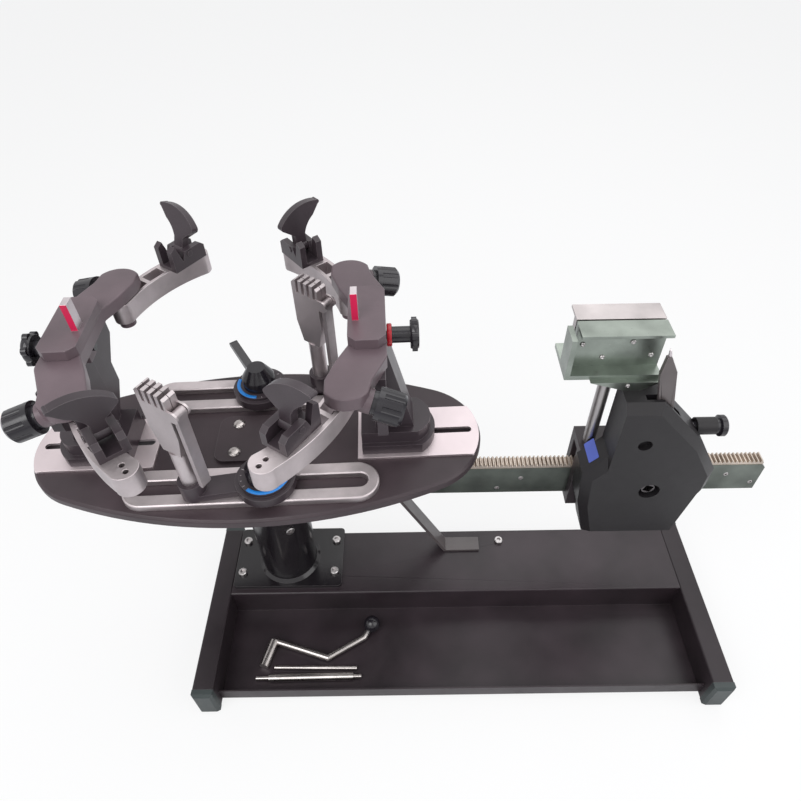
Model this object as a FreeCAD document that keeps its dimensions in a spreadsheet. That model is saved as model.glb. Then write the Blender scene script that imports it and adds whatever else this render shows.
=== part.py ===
import FreeCAD, Part
import math
import os
import re

import Sketcher
from FreeCAD import Placement, Rotation, Vector

# Table-top racket stringing machine with a hand crank.
# A steel base with a tool tray carries a column and a rack rail. The oval turntable turns on the
# column and holds two towers with swinging side arms, two clamp bases and two string clamps.
# The tension head rolls along the rail on its rack. Z is up and the table top is Z = 0.

DRIVING_SIZES = {
    # Place of the turntable's axis from the middle of the machine
    "axis_x": -162.6,
    "axis_y": 7.6,
    "turn_rest": 1.9,
    # Base: two box rails, folded sheet between them
    "base_length": 635,
    "base_left": -98,
    "base_front": -181,
    "rail_width": 25,
    "rail_height": 50,
    "rail_run": 218,
    "cap_depth": 9,
    "cap_bevel": 3,
    "sheet": 2,
    "fold_radius": 2.4,
    "deck_back": 40,
    "tray_back": -52,
    "tray_front": -166,
    "tray_floor": 6,
    "lip_height": 20,
    "skirt_foot": 34,
    # Column and its welded flange
    "flange_length": 142,
    "flange_width": 88,
    "flange_thick": 5,
    "flange_corner": 5,
    "flange_hole_x": 60.8,
    "flange_hole_y": 23.8,
    "column_radius": 36,
    "column_top": 262,
    "weld_leg": 4,
    "lock_screw_z": 165,
    "lock_screw_angle": -60,
    "lock_screw_seat": 33,
    # Rack rail
    "bar_thick": 14,
    "bar_height": 50,
    "bar_bottom": 203,
    "bar_start": 12,
    "bar_end": 565,
    "bar_chamfer": 5,
    "rack_thick": 13,
    "rack_body": 3,
    "tooth_module": 1.5,
    "rack_start": 52.15,
    "rack_teeth": 108,
    # Brace from the rail to the deck
    "brace_width": 20,
    "brace_thick": 4,
    "brace_top_x": 134,
    "brace_top": 228,
    "brace_bend": 196,
    "brace_foot_x": 208,
    "brace_foot_length": 48,
    "deck_screw_x": 284,
    "deck_screw_y": 22,
    # Fasteners
    "screw_radius": 3,
    "screw_hole": 3.3,
    "screw_head": 5.5,
    "screw_head_height": 5,
    "dome_radius": 6.5,
    "dome_height": 3.2,
    # Turntable
    "bearing_radius": 44,
    "bearing_height": 10,
    "spindle_radius": 12,
    "spindle_play": 0.05,
    "rail_screw_radius": 3,
    "rail_screw_depth": 3,
    "running_gap": 0.3,
    "slide_gap": 0.1,
    "boss_radius": 50,
    "table_length": 480,
    "table_width": 212,
    "table_end_radius": 74,
    "table_bottom": 283,
    "table_thick": 13,
    "table_bevel": 2.5,
    "track_inner": 107,
    "track_width": 70,
    "track_inset": 2,
    "track_thick": 3,
    "slot_inner": 112,
    "slot_end": 10,
    "slot_width": 8,
    "hub_length": 90,
    "hub_width": 64,
    "hub_thick": 4,
    "hub_corner": 12,
    "hub_screw_x": 24,
    "hub_screw_y": 20,
    # Glide bars
    "bar_offset": 66,
    "glide_length": 258,
    "glide_width": 46,
    "glide_thick": 8,
    "glide_slot_end": 11.5,
    "glide_slot": 17,
    "glide_bevel": 1.2,
    # Towers, measured outward from the middle of the yoke
    "left_reach": 142.5,
    "right_reach": 125,
    "foot_inner": -13,
    "foot_outer": 65,
    "foot_width": 60,
    "foot_step": 12,
    "foot_height": 27,
    "foot_ledge": 5,
    "post_foot_inner": 2,
    "post_foot_outer": 42,
    "post_top_inner": 5,
    "post_top_outer": 16.5,
    "post_width": 34,
    "fin_thick": 10,
    "fin_half": 48,
    "fin_waist_z": 374,
    "fin_flare": 70,
    "fin_flare_z": 396,
    "fin_close_z": 413,
    "fin_top_half": 66,
    "bolt_one": 10,
    "bolt_two": 48,
    "bolt_radius": 3.4,
    "nut_radius": 9,
    "nut_height": 6,
    "yoke_top": 453,
    "yoke_plate": 13,
    "yoke_half": 17,
    "yoke_flat": 50,
    "yoke_corner_x": 4,
    "yoke_corner_y": 78,
    "wing_outer": 1,
    "wing_end": 92,
    "wing_crown": 102,
    "wing_inner": -36,
    "wing_root": 76,
    "throat_x": -27,
    "throat_y": 52,
    "throat_end": 32,
    # Centre support, its key and its knob
    "support_half_length": 40,
    "support_height": 10,
    "support_round": 7,
    "key_middle": -5.6,
    "key_length": 6,
    "key_width": 15,
    "key_drop": 32,
    "key_play": 0.4,
    "support_travel": 6,
    "rest_width": 12,
    "rest_thick": 6,
    "rest_height": 29,
    "rest_offset": 6,
    "support_screw": 4,
    "support_screw_z": 435,
    "screw_play": 0.3,
    "ring_radius": 10,
    "ring_length": 5,
    "shank_radius": 7.75,
    "shank_length": 17,
    "disc_radius": 13,
    "disc_length": 8,
    "lobe_radius": 4,
    "lobe_count": 6,
    # Side arms
    "pivot_in": 20,
    "pivot_out": 66,
    "pivot_radius": 4,
    "pivot_play": 0.05,
    "arm_angle": 54,
    "arm_length": 103,
    "arm_root": 11,
    "arm_tip": 12,
    "arm_bow": 8,
    "arm_half": 10.5,
    "arm_height": 22,
    "arm_gap": 2,
    "lug_radius": 8,
    "lug_height": 6,
    "window_wall": 4,
    "tip_hole": 2.2,
    # Arm knobs
    "arm_knob_x": 3,
    "arm_knob_y": 88,
    "arm_knob_z": 436,
    "arm_knob_tilt": 15,
    "arm_knob_yaw": 12,
    "arm_knob_radius": 15,
    "arm_knob_length": 24,
    "arm_knob_neck": 11,
    "arm_knob_step": 4,
    "arm_screw": 3.5,
    "arm_boss": 11,
    "arm_boss_length": 10,
    "flute_count": 8,
    "flute_radius": 3,
    # Frame clamps on the arms
    "clamp_place_front": 70,
    "clamp_place_rear": 86,
    "clamp_back": 22,
    "clamp_ahead": 20,
    "clamp_half": 13,
    "clamp_height": 18,
    "clamp_notch": 8,
    "spike_height": 28,
    "spike_width": 6,
    "fork_width": 13,
    "fork_floor": 4,
    "pin_height": 13,
    "pin_radius": 3,
    "eye_radius": 6,
    "leaf_thick": 8,
    "leaf_length": 44,
    "leaf_tip": 28,
    "leaf_belly": 20,
    "leaf_belly_height": 26,
    "leaf_neck_height": 14,
    "lean_left_front": -4,
    "lean_left_rear": -20,
    "lean_right_front": 5,
    "lean_right_rear": -4,
    # Clamp bases on the glide bars
    "front_base_x": 16,
    "rear_base_x": -4,
    "puck_radius": 30,
    "puck_top_radius": 27,
    "puck_height": 10,
    "stem_radius": 8,
    "stem_drop": 7,
    "base_reach": 70,
    "base_swing_front": 187,
    "base_swing_rear": 5,
    "web_half": 12,
    "web_thick": 8,
    "socket_radius": 13,
    "socket_height": 22,
    "socket_floor": 2.5,
    "dial_inner": 21,
    "dial_outer": 25.5,
    "dial_height": 4,
    "lock_radius": 18,
    "lock_top_radius": 13,
    "lock_height": 24,
    "lock_stud": 5,
    "lock_lever_length": 57,
    "lock_lever_rise": 20,
    "lock_swing_front": 213,
    "lock_swing_rear": 119,
    "lock_lever_width": 9,
    # String clamps
    "barrel_radius": 8.5,
    "barrel_play": 0.08,
    "barrel_top": 372,
    "jaw_top": 450,
    "jaw_width": 34,
    "jaw_thick": 7,
    "jaw_root": 398,
    "neck_width": 22,
    "string_gap": 0.6,
    "tooth_count": 5,
    "tooth_length": 15,
    "tooth_slit": 3.4,
    "handle_width": 11,
    "handle_thick": 5,
    "handle_bottom": 336,
    "clamp_turn_front": -32,
    "clamp_turn_rear": -38,
    # Tension head
    "head_x": 415,
    "head_front": -54,
    "cover_depth": 19,
    "cover_bevel": 9,
    "head_foot": 180,
    "head_top": 390,
    "shell_foot_left": -55,
    "shell_foot_right": 41,
    "shell_knee_right": 45,
    "shell_knee_rise": 28,
    "shell_right": 63,
    "shell_right_low": 82,
    "shell_right_high": 110,
    "shell_shoulder": 37,
    "shell_shoulder_drop": 56,
    "shell_top_right": -15,
    "shell_top_left": -51,
    "shell_neck_rise": 132,
    "shell_left": -73,
    "shell_left_high": 106,
    "shell_hip": -69,
    "shell_hip_rise": 56,
    "sight_hole_x": -23,
    "sight_hole_drop": 52,
    "sight_hole_radius": 7,
    "bay_left": -31,
    "bay_right": 7,
    "pinion_teeth": 16,
    "pinion_shaft": 7,
    "crank_square": 9,
    "crank_hole": 11,
    "carriage_wall": 10,
    "carriage_left": 70,
    "carriage_right": 48,
    "carriage_top": 290,
    "carriage_play": 0.4,
    "spring_tube_x": -59,
    "spring_tube_y": -5,
    "spring_tube_radius": 6.5,
    "gripper_floor": 400,
    "gripper_left": -107,
    "gripper_right": -17,
    "gripper_half": 24,
    "gripper_height": 52,
    "gripper_sheet": 5,
    "gripper_pin": 3,
    "jaw_plate": 9,
    "jaw_slot": 2.2,
    "brake_x": -3,
    "brake_z": 345,
    "brake_y": -38.5,
    "brake_tilt": 12.3,
    "brake_length": 98,
    "brake_width": 15,
    "brake_thick": 5,
    "adjuster_y": -26,
    "adjuster_z": 335,
    "adjuster_radius": 11,
    "adjuster_stem": 4.5,
    # Loose crank and rods in the tray
    "crank_hub_x": -25,
    "crank_hub_y": -131,
    "crank_eye_x": -16,
    "crank_eye_y": -98,
    "crank_elbow_x": 55,
    "crank_elbow_y": -121,
    "crank_wrist_x": 100,
    "crank_wrist_y": -95,
    "crank_end_x": 110,
    "crank_end_y": -79,
    "thin_start_x": -12,
    "thin_start_y": -131,
    "thin_end_x": 92,
    "thin_end_y": -133,
    "sleeve_start_x": -33,
    "sleeve_start_y": -145,
    "sleeve_end_x": 98,
    "sleeve_end_y": -144,
    "sleeve_left": 16,
    "sleeve_right": 10,
    "crank_bar": 4,
    "crank_socket": 6,
    "crank_ball": 10.5,
    "thin_rod": 2.5,
    "sleeve_rod": 4.5,
    "rest_gap": 0.2,
}

doc = FreeCAD.newDocument("racket_stringing_machine")
sheet = doc.addObject("Spreadsheet::Sheet", "dims")
for row, (alias, number) in enumerate(DRIVING_SIZES.items(), start=1):
    sheet.set(f"A{row}", alias)
    sheet.set(f"B{row}", str(number))
    sheet.setAlias(f"B{row}", alias)
doc.recompute()

WORD = re.compile(r"[a-z][a-z0-9_]*")


def linked(text):
    """The same expression with every size read from the sheet."""
    return WORD.sub(lambda m: "dims." + m.group() if m.group() in DRIVING_SIZES else m.group(), str(text))


def size(text):
    """The number that an expression of sheet sizes comes to."""
    return float(sheet.evalExpression(str(text)))


def at(x, y, z):
    return Vector(size(x), size(y), size(z))


def bind(thing, **texts):
    for name, text in texts.items():
        thing.setExpression(name, linked(text))


# Sketches whose every point is tied to the sheet
def pin(sketch, geometry, point, x, y, rules):
    """Fixes a point of a sketch at x, y from its origin."""
    for kind, axis, text in (("DistanceX", -2, x), ("DistanceY", -1, y)):
        if str(text) == "0":
            rules.append((Sketcher.Constraint("PointOnObject", geometry, point, axis), None))
        else:
            rules.append((Sketcher.Constraint(kind, -1, 1, geometry, point, size(text)), text))


def add_outline(sketch, outline, rules):
    """A closed outline: (x, y) is a corner, and (x, y, "bow") a point that an arc passes through."""
    spots = [Vector(size(spot[0]), size(spot[1]), 0) for spot in outline]
    corners = [i for i, spot in enumerate(outline) if len(spot) == 2]
    sides = []
    for order, here in enumerate(corners):
        there = corners[(order + 1) % len(corners)]
        bow = (here + 1) % len(outline)
        if bow == there:
            number = sketch.addGeometry(Part.LineSegment(spots[here], spots[there]))
            sides.append((number, 1, 2))
            continue
        number = sketch.addGeometry(Part.Arc(spots[here], spots[bow], spots[there]))
        turn = (spots[bow] - spots[here]).cross(spots[there] - spots[bow]).z
        sides.append((number, 1, 2) if turn > 0 else (number, 2, 1))
        mark = sketch.addGeometry(Part.Point(spots[bow]), True)
        rules.append((Sketcher.Constraint("PointOnObject", mark, 1, number), None))
        pin(sketch, mark, 1, outline[bow][0], outline[bow][1], rules)
    for order, here in enumerate(corners):
        number, start, end = sides[order]
        following = sides[(order + 1) % len(sides)]
        rules.append((Sketcher.Constraint("Coincident", number, end, following[0], following[1]), None))
        pin(sketch, number, start, outline[here][0], outline[here][1], rules)


def add_circle(sketch, x, y, radius, rules):
    middle = Vector(size(x), size(y), 0)
    number = sketch.addGeometry(Part.Circle(middle, Vector(0, 0, 1), size(radius)))
    rules.append((Sketcher.Constraint("Radius", number, size(radius)), radius))
    pin(sketch, number, 3, x, y, rules)


def drawing(body, plane, outlines=(), circles=(), lift="0"):
    """A sketch on one of the body's own planes, raised along the plane's normal."""
    sketch = body.newObject("Sketcher::SketchObject", body.Name + "_sketch")
    face = next(item for item in body.Origin.OriginFeatures if item.Role == plane + "_Plane")
    sketch.AttachmentSupport = [(face, "")]
    sketch.MapMode = "FlatFace"
    if str(lift) != "0":
        sketch.setExpression("AttachmentOffset.Base.z", linked(lift))
    rules = []
    for outline in outlines:
        add_outline(sketch, outline, rules)
    for x, y, radius in circles:
        add_circle(sketch, x, y, radius, rules)
    first = sketch.ConstraintCount
    sketch.addConstraint([rule for rule, text in rules])
    for order, (rule, text) in enumerate(rules):
        if text is not None and WORD.search(str(text)):
            sketch.setExpression(f"Constraints[{first + order}]", linked(text))
    return sketch


def new_body(label):
    body = doc.addObject("PartDesign::Body", label)
    body.Label = label
    return body


def pad(body, sketch, length, both=False, back=False, taper=None):
    feature = body.newObject("PartDesign::Pad", body.Name + "_pad")
    feature.Profile = sketch
    feature.setExpression("Length", linked(length))
    feature.SideType = "Symmetric" if both else "One side"
    feature.Reversed = back
    if taper:
        feature.setExpression("TaperAngle", linked(taper))
    return feature


def pocket(body, sketch, length=None, back=False):
    """Cuts the sketch's shape out, right through both ways when no length is given."""
    feature = body.newObject("PartDesign::Pocket", body.Name + "_pocket")
    feature.Profile = sketch
    if length is None:
        feature.Type = "ThroughAll"
        feature.SideType = "Symmetric"
    else:
        feature.setExpression("Length", linked(length))
    feature.Reversed = back
    return feature


def plate(label, plane, outline, length, circles=(), cuts=(), lift="0", both=False, back=False):
    """A body padded from one outline with its holes."""
    body = new_body(label)
    sketch = drawing(body, plane, [outline, *cuts], circles, lift)
    pad(body, sketch, length, both, back)
    return body


def turned(label, profile):
    """A body revolved round its own Z axis from a half section of (radius, height) points."""
    body = new_body(label)
    sketch = drawing(body, "XZ", [profile])
    feature = body.newObject("PartDesign::Revolution", label + "_turn")
    feature.Profile = sketch
    feature.ReferenceAxis = (sketch, ["V_Axis"])
    feature.Angle = 360
    return body


def around(body, feature, sketch, count):
    """Repeats a feature evenly round the sketch's normal."""
    pattern = body.newObject("PartDesign::PolarPattern", body.Name + "_round")
    pattern.Originals = [feature]
    pattern.Axis = (sketch, ["N_Axis"])
    pattern.Angle = 360
    pattern.setExpression("Occurrences", linked(count))
    body.Tip = pattern
    return pattern


def along(body, feature, sketch, axis, pitch, count):
    """Repeats a feature in a row along one axis of a sketch."""
    pattern = body.newObject("PartDesign::LinearPattern", body.Name + "_row")
    pattern.Originals = [feature]
    pattern.Direction = (sketch, [axis])
    pattern.Mode = "Spacing"
    pattern.setExpression("Offset", linked(pitch))
    pattern.setExpression("Occurrences", linked(count))
    body.Tip = pattern
    return pattern


def dress(body, kind, amount, wanted):
    """Fillets or chamfers the edges of the body so far that pass the test."""
    doc.recompute()
    base = body.Tip
    names = [f"Edge{i}" for i, edge in enumerate(base.Shape.Edges, start=1) if wanted(edge)]
    feature = body.newObject("PartDesign::" + kind, body.Name + "_edge")
    feature.Base = (base, names)
    feature.setExpression("Radius" if kind == "Fillet" else "Size", linked(amount))
    return feature


def runs_along(axis):
    """A test for straight edges along X, Y or Z."""
    index = "XYZ".index(axis)

    def test(edge):
        if not isinstance(edge.Curve, (Part.Line, Part.LineSegment)):
            return False
        way = edge.Vertexes[-1].Point - edge.Vertexes[0].Point
        return abs(way[index]) > 0.999 * way.Length

    return test


def lies_at(axis, text, tolerance=0.01):
    """A test for edges that lie wholly at one height along X, Y or Z."""
    index = "XYZ".index(axis)
    level = size(text)

    def test(edge):
        box = edge.BoundBox
        low = (box.XMin, box.YMin, box.ZMin)[index]
        high = (box.XMax, box.YMax, box.ZMax)[index]
        return abs(low - level) < tolerance and abs(high - level) < tolerance

    return test


# Part primitives and their boolean results
def tube(name, radius, length, spot, way=(0, 0, 1)):
    """A cylinder from a spot along a direction."""
    part = doc.addObject("Part::Cylinder", name)
    bind(part, Radius=radius, Height=length)
    part.Placement = Placement(at(*spot), Rotation(Vector(0, 0, 1), Vector(*way)))
    return part


def block(name, length, width, height, spot, turn=Rotation()):
    part = doc.addObject("Part::Box", name)
    bind(part, Length=length, Width=width, Height=height)
    part.Placement = Placement(at(*spot), turn)
    return part


def ball(name, radius, spot):
    part = doc.addObject("Part::Sphere", name)
    bind(part, Radius=radius)
    part.Placement = Placement(at(*spot), Rotation())
    return part


def joined(label, parts):
    part = doc.addObject("Part::MultiFuse", label)
    part.Shapes = parts
    part.Label = label
    return part


def less(label, base, tools):
    """The base with every tool cut away."""
    doc.recompute()
    tool = tools[0]
    if len(tools) > 1:
        tool = joined(label + "_tools", tools)
    part = doc.addObject("Part::Cut", label + "_cut")
    part.Base = base
    part.Tool = tool
    base.Label = label + "_blank"
    part.Label = label
    return part


def group(label, parts):
    part = doc.addObject("Part::Compound", label + "_group")
    part.Links = parts
    part.Label = label
    return part


def stand(part, frame, x="0", y="0", z="0", turn=Rotation()):
    part.Placement = frame.multiply(Placement(at(x, y, z), turn))
    return part


NODES = []


def keep(part, label=None):
    """Lists a finished piece, whose label names its file."""
    if label:
        part.Label = label
    NODES.append(part)
    return part


UP = Vector(0, 0, 1)
MACHINE = Placement(at("axis_x", "axis_y", "0"), Rotation())
TABLE = MACHINE.multiply(Placement(Vector(), Rotation(UP, size("turn_rest"))))
TABLE_TOP = "table_bottom + table_thick"
TRACK_TOP = TABLE_TOP + " + track_thick"
YOKE_UNDER = "yoke_top - yoke_plate"


def oblong(left, right, middle, half):
    """Outline of a straight slot or bar with round ends."""
    return [
        (left, f"{middle} - {half}"),
        (right, f"{middle} - {half}"),
        (f"{right} + {half}", middle, "bow"),
        (right, f"{middle} + {half}"),
        (left, f"{middle} + {half}"),
        (f"{left} - {half}", middle, "bow"),
    ]


def rectangle(left, right, low, high):
    return [(left, low), (right, low), (right, high), (left, high)]


# Base
def base_rail(name, left):
    rail = plate(name, "XZ", rectangle("0", "rail_width", "0", "rail_height"), "rail_run", back=True)
    dress(rail, "Fillet", "fold_radius", runs_along("Y"))
    stand(rail, MACHINE, left, "base_front + cap_depth", "0")
    return rail


def end_cap(name, left, front, outward):
    """A moulded plug that closes one end of a rail, bevelled round its outer face."""
    cap = plate(name, "XZ", rectangle("0", "rail_width", "0", "rail_height"), "cap_depth", back=True)
    outer = "0" if outward < 0 else "cap_depth"
    dress(cap, "Chamfer", "cap_bevel", lies_at("Y", outer))
    stand(cap, MACHINE, left, front, "0")
    return cap


def make_base():
    right = "base_left + base_length - rail_width"
    rear = "base_front + cap_depth + rail_run"
    rails = [base_rail("rail_left", "base_left"), base_rail("rail_right", right)]
    keep(group("base_rails", rails))
    caps = []
    for side, left in (("left", "base_left"), ("right", right)):
        caps.append(end_cap(f"cap_front_{side}", left, "base_front", -1))
        caps.append(end_cap(f"cap_rear_{side}", left, rear, 1))
    keep(group("rail_end_caps", caps))


def make_deck_tray():
    """One folded sheet: rear flange, deck, tray wall, tray floor and front lip."""
    fold = [
        ("deck_back", "skirt_foot"),
        ("deck_back", "rail_height"),
        ("tray_back", "rail_height"),
        ("tray_back", "tray_floor"),
        ("tray_front + sheet", "tray_floor"),
        ("tray_front + sheet", "tray_floor + lip_height"),
        ("tray_front", "tray_floor + lip_height"),
        ("tray_front", "tray_floor - sheet"),
        ("tray_back + sheet", "tray_floor - sheet"),
        ("tray_back + sheet", "rail_height - sheet"),
        ("deck_back - sheet", "rail_height - sheet"),
        ("deck_back - sheet", "skirt_foot"),
    ]
    deck = plate("deck_tray_sheet", "YZ", fold, "base_length - 2 * rail_width")
    outer_bends = [("deck_back", "rail_height"), ("tray_back", "rail_height"),
                   ("tray_front", "tray_floor - sheet")]

    def on_bend(edge):
        if not runs_along("X")(edge):
            return False
        spot = edge.Vertexes[0].Point
        return any(abs(spot.y - size(y)) + abs(spot.z - size(z)) < 0.01 for y, z in outer_bends)

    dress(deck, "Fillet", "fold_radius", on_bend)
    holes = []
    for x in ("flange_hole_x", "-flange_hole_x"):
        for y in ("flange_hole_y", "-flange_hole_y"):
            holes.append((f"{x} - base_left - rail_width", y, "screw_hole"))
    holes.append(("deck_screw_x - base_left - rail_width", "deck_screw_y", "screw_hole"))
    cut = drawing(deck, "XY", (), holes, "rail_height + sheet")
    pocket(deck, cut, "4 * sheet")
    stand(deck, MACHINE, "base_left + rail_width", "0", "0")
    keep(deck, "deck_tray")


def make_column():
    """Round post welded to its flange, slotted for the rail and grooved for its lock screw."""
    corners = rectangle("-flange_length / 2", "flange_length / 2", "-flange_width / 2", "flange_width / 2")
    holes = []
    for x in ("flange_hole_x", "-flange_hole_x"):
        for y in ("flange_hole_y", "-flange_hole_y"):
            holes.append((x, y, "screw_hole"))
    post = plate("column_post", "XY", corners, "flange_thick")
    dress(post, "Fillet", "flange_corner", runs_along("Z"))
    pocket(post, drawing(post, "XY", (), holes))
    pad(post, drawing(post, "XY", (), [("0", "0", "column_radius")]), "column_top - rail_height")
    dress(post, "Chamfer", "weld_leg", lambda edge: edge_ring(edge, "column_radius", "flange_thick"))
    notch = rectangle("bar_start", "column_radius + 2", "-bar_thick / 2", "bar_thick / 2")
    pocket(post, drawing(post, "XY", [notch], lift="bar_bottom - rail_height"), "bar_height", back=True)
    stand(post, MACHINE, "0", "0", "rail_height")
    facing = lock_frame()
    seat = tube("lock_seat", "screw_head + 1", "10", ("0", "0", "0"))
    seat.Placement = facing
    hole = tube("lock_hole", "screw_hole", "20", ("0", "0", "0"))
    hole.Placement = facing.multiply(Placement(at("0", "0", "-12"), Rotation()))
    keep(less("column", post, [seat, hole]))


def lock_frame():
    """Frame of the column's lock screw: Z points straight out of its spot face."""
    angle = math.radians(size("lock_screw_angle"))
    out = Vector(math.cos(angle), math.sin(angle), 0)
    spot = out * size("lock_screw_seat") + at("0", "0", "lock_screw_z")
    return MACHINE.multiply(Placement(spot, Rotation(UP, out)))


def edge_ring(edge, radius, level):
    """True for a circular edge of one radius at one height."""
    round_edge = isinstance(edge.Curve, Part.Circle)
    return round_edge and abs(edge.Curve.Radius - size(radius)) < 0.01 and lies_at("Z", level)(edge)


def socket_screw(name, frame, x, y, z, shank, turn=Rotation()):
    """Cap screw with a hexagon socket, standing on the face at z."""
    profile = [
        ("0", f"-({shank})"),
        ("screw_radius", f"-({shank})"),
        ("screw_radius", "0"),
        ("screw_head", "0"),
        ("screw_head", "screw_head_height - 1"),
        ("screw_head - 1", "screw_head_height"),
        ("0", "screw_head_height"),
    ]
    screw = turned(name, profile)
    hexagon = []
    for corner in range(6):
        angle = 60 * corner
        hexagon.append((f"screw_radius * cos({angle})", f"screw_radius * sin({angle})"))
    hexagon = [tuple("0" if abs(size(text)) < 1e-6 else text for text in spot) for spot in hexagon]
    pocket(screw, drawing(screw, "XY", [hexagon], lift="screw_head_height + 1"), "screw_head_height / 2 + 1")
    stand(screw, frame, x, y, z, turn)
    return screw


def dome_screw(name, frame, x, y, z):
    """Low round-headed screw."""
    profile = [
        ("0", "0"),
        ("dome_radius", "0"),
        ("dome_radius", "dome_height / 4"),
        ("dome_radius * 0.8", "dome_height * 0.7"),
        ("dome_radius * 0.45", "dome_height * 0.94"),
        ("0", "dome_height"),
    ]
    return stand(turned(name, profile), frame, x, y, z)


RAIL_SCREWS = [
    ("bar_end - 40", "bar_bottom + 27"),
    ("bar_end - 7", "bar_bottom + 12"),
    ("bar_end - 275", "bar_bottom + 26"),
    ("bar_end - 301", "bar_bottom + 8"),
]


def make_frame_screws():
    screws = []
    top = "rail_height + flange_thick"
    for x in ("flange_hole_x", "-flange_hole_x"):
        for y in ("flange_hole_y", "-flange_hole_y"):
            name = f"flange_screw_{len(screws)}"
            screws.append(socket_screw(name, MACHINE, x, y, top, "flange_thick + sheet + 4"))
    screws.append(socket_screw("deck_screw", MACHINE, "deck_screw_x", "deck_screw_y", "rail_height",
                               "sheet + 4"))
    forward = Rotation(Vector(1, 0, 0), 90)
    screws.append(socket_screw("lock_screw", lock_frame(), "0", "0", "0", "8"))
    sunk = [
        ("0", "-rail_screw_depth"),
        ("rail_screw_radius", "-rail_screw_depth"),
        ("rail_screw_radius", "-0.4"),
        ("rail_screw_radius - 0.4", "0"),
        ("rail_screw_radius / 2", "0"),
        ("rail_screw_radius / 2", "-rail_screw_depth / 2"),
        ("0", "-rail_screw_depth / 2"),
    ]
    for order, (x, z) in enumerate(RAIL_SCREWS):
        head = turned(f"rail_screw_{order}", sunk)
        screws.append(stand(head, MACHINE, x, "-bar_thick / 2", z, forward))
    keep(group("frame_screws", screws))


TOOTH_HALF_TIP = "tooth_module * (pi / 4 - tan(20))"
TOOTH_HALF_ROOT = "tooth_module * (pi / 4 + 1.25 * tan(20))"
BAR_TOP = "bar_bottom + bar_height"
RACK_FOOT = "bar_bottom + bar_height - 2.25 * tooth_module - rack_body"
PITCH_LINE = "bar_bottom + bar_height - tooth_module"
PINION_Z = "bar_bottom + bar_height - tooth_module + tooth_module * pinion_teeth / 2"


def make_rail():
    """Flat bar from the column, with the rack screwed along its top."""
    outline = [
        ("bar_start", "bar_bottom"),
        ("bar_end", "bar_bottom"),
        ("bar_end", f"{RACK_FOOT} - bar_chamfer"),
        ("bar_end - bar_chamfer", RACK_FOOT),
        ("bar_start", RACK_FOOT),
    ]
    bar = plate("tension_rail", "XZ", outline, "bar_thick", both=True)
    for x, z in RAIL_SCREWS:
        hole = [(x, z, "rail_screw_radius + spindle_play")]
        pocket(bar, drawing(bar, "XZ", (), hole, "bar_thick / 2"), "rail_screw_depth")
    keep(stand(bar, MACHINE))
    foot = rectangle("0", "rack_teeth * pi * tooth_module", "0", "rack_body")
    strip = plate("rack", "XZ", foot, "rack_thick", both=True)
    tooth = [
        (f"pi * tooth_module / 2 - {TOOTH_HALF_ROOT}", "rack_body"),
        (f"pi * tooth_module / 2 + {TOOTH_HALF_ROOT}", "rack_body"),
        (f"pi * tooth_module / 2 + {TOOTH_HALF_TIP}", "rack_body + 2.25 * tooth_module"),
        (f"pi * tooth_module / 2 - {TOOTH_HALF_TIP}", "rack_body + 2.25 * tooth_module"),
    ]
    sketch = drawing(strip, "XZ", [tooth])
    first = pad(strip, sketch, "rack_thick", both=True)
    along(strip, first, sketch, "H_Axis", "pi * tooth_module", "rack_teeth")
    keep(stand(strip, MACHINE, "rack_start", "0", RACK_FOOT))


def make_brace():
    """Flat strap bent at both ends, welded to the back of the rail and standing on the deck."""
    outline = [
        ("brace_top_x", "brace_top"),
        ("brace_top_x", "brace_bend"),
        ("brace_foot_x", "rail_height"),
        ("brace_foot_x + brace_foot_length", "rail_height"),
        ("brace_foot_x + brace_foot_length", "rail_height + brace_thick"),
        ("brace_foot_x + 0.6 * brace_thick", "rail_height + brace_thick"),
        ("brace_top_x + brace_thick", "brace_bend + brace_thick / 4"),
        ("brace_top_x + brace_thick", "brace_top"),
    ]
    strap = plate("rail_brace", "XZ", outline, "brace_width", back=True)
    keep(stand(strap, MACHINE, "0", "bar_thick / 2", "0"))


def make_bearing():
    profile = [
        ("0", "0"),
        ("bearing_radius", "0"),
        ("bearing_radius", "bearing_height - 2"),
        ("bearing_radius - 2", "bearing_height"),
        ("spindle_radius", "bearing_height"),
        ("spindle_radius", "table_bottom + table_thick - 2 - column_top"),
        ("0", "table_bottom + table_thick - 2 - column_top"),
    ]
    keep(stand(turned("turntable_bearing", profile), MACHINE, "0", "0", "column_top"))


# Turntable: four arcs that run into each other make its oval
END = "(table_length / 2 - table_end_radius)"
SIDE = ("((table_length / 2 - table_end_radius) ^ 2 + table_width ^ 2 / 4 - table_end_radius ^ 2)"
        " / (table_width - 2 * table_end_radius)")


def oval():
    x = f"({END} * {SIDE} / ({SIDE} - table_end_radius))"
    y = f"(table_end_radius * ({SIDE} - table_width / 2) / ({SIDE} - table_end_radius))"
    return [
        (f"-{x}", f"-{y}"),
        ("0", "-table_width / 2", "bow"),
        (x, f"-{y}"),
        ("table_length / 2", "0", "bow"),
        (x, y),
        ("0", "table_width / 2", "bow"),
        (f"-{x}", y),
        ("-table_length / 2", "0", "bow"),
    ]


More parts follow.
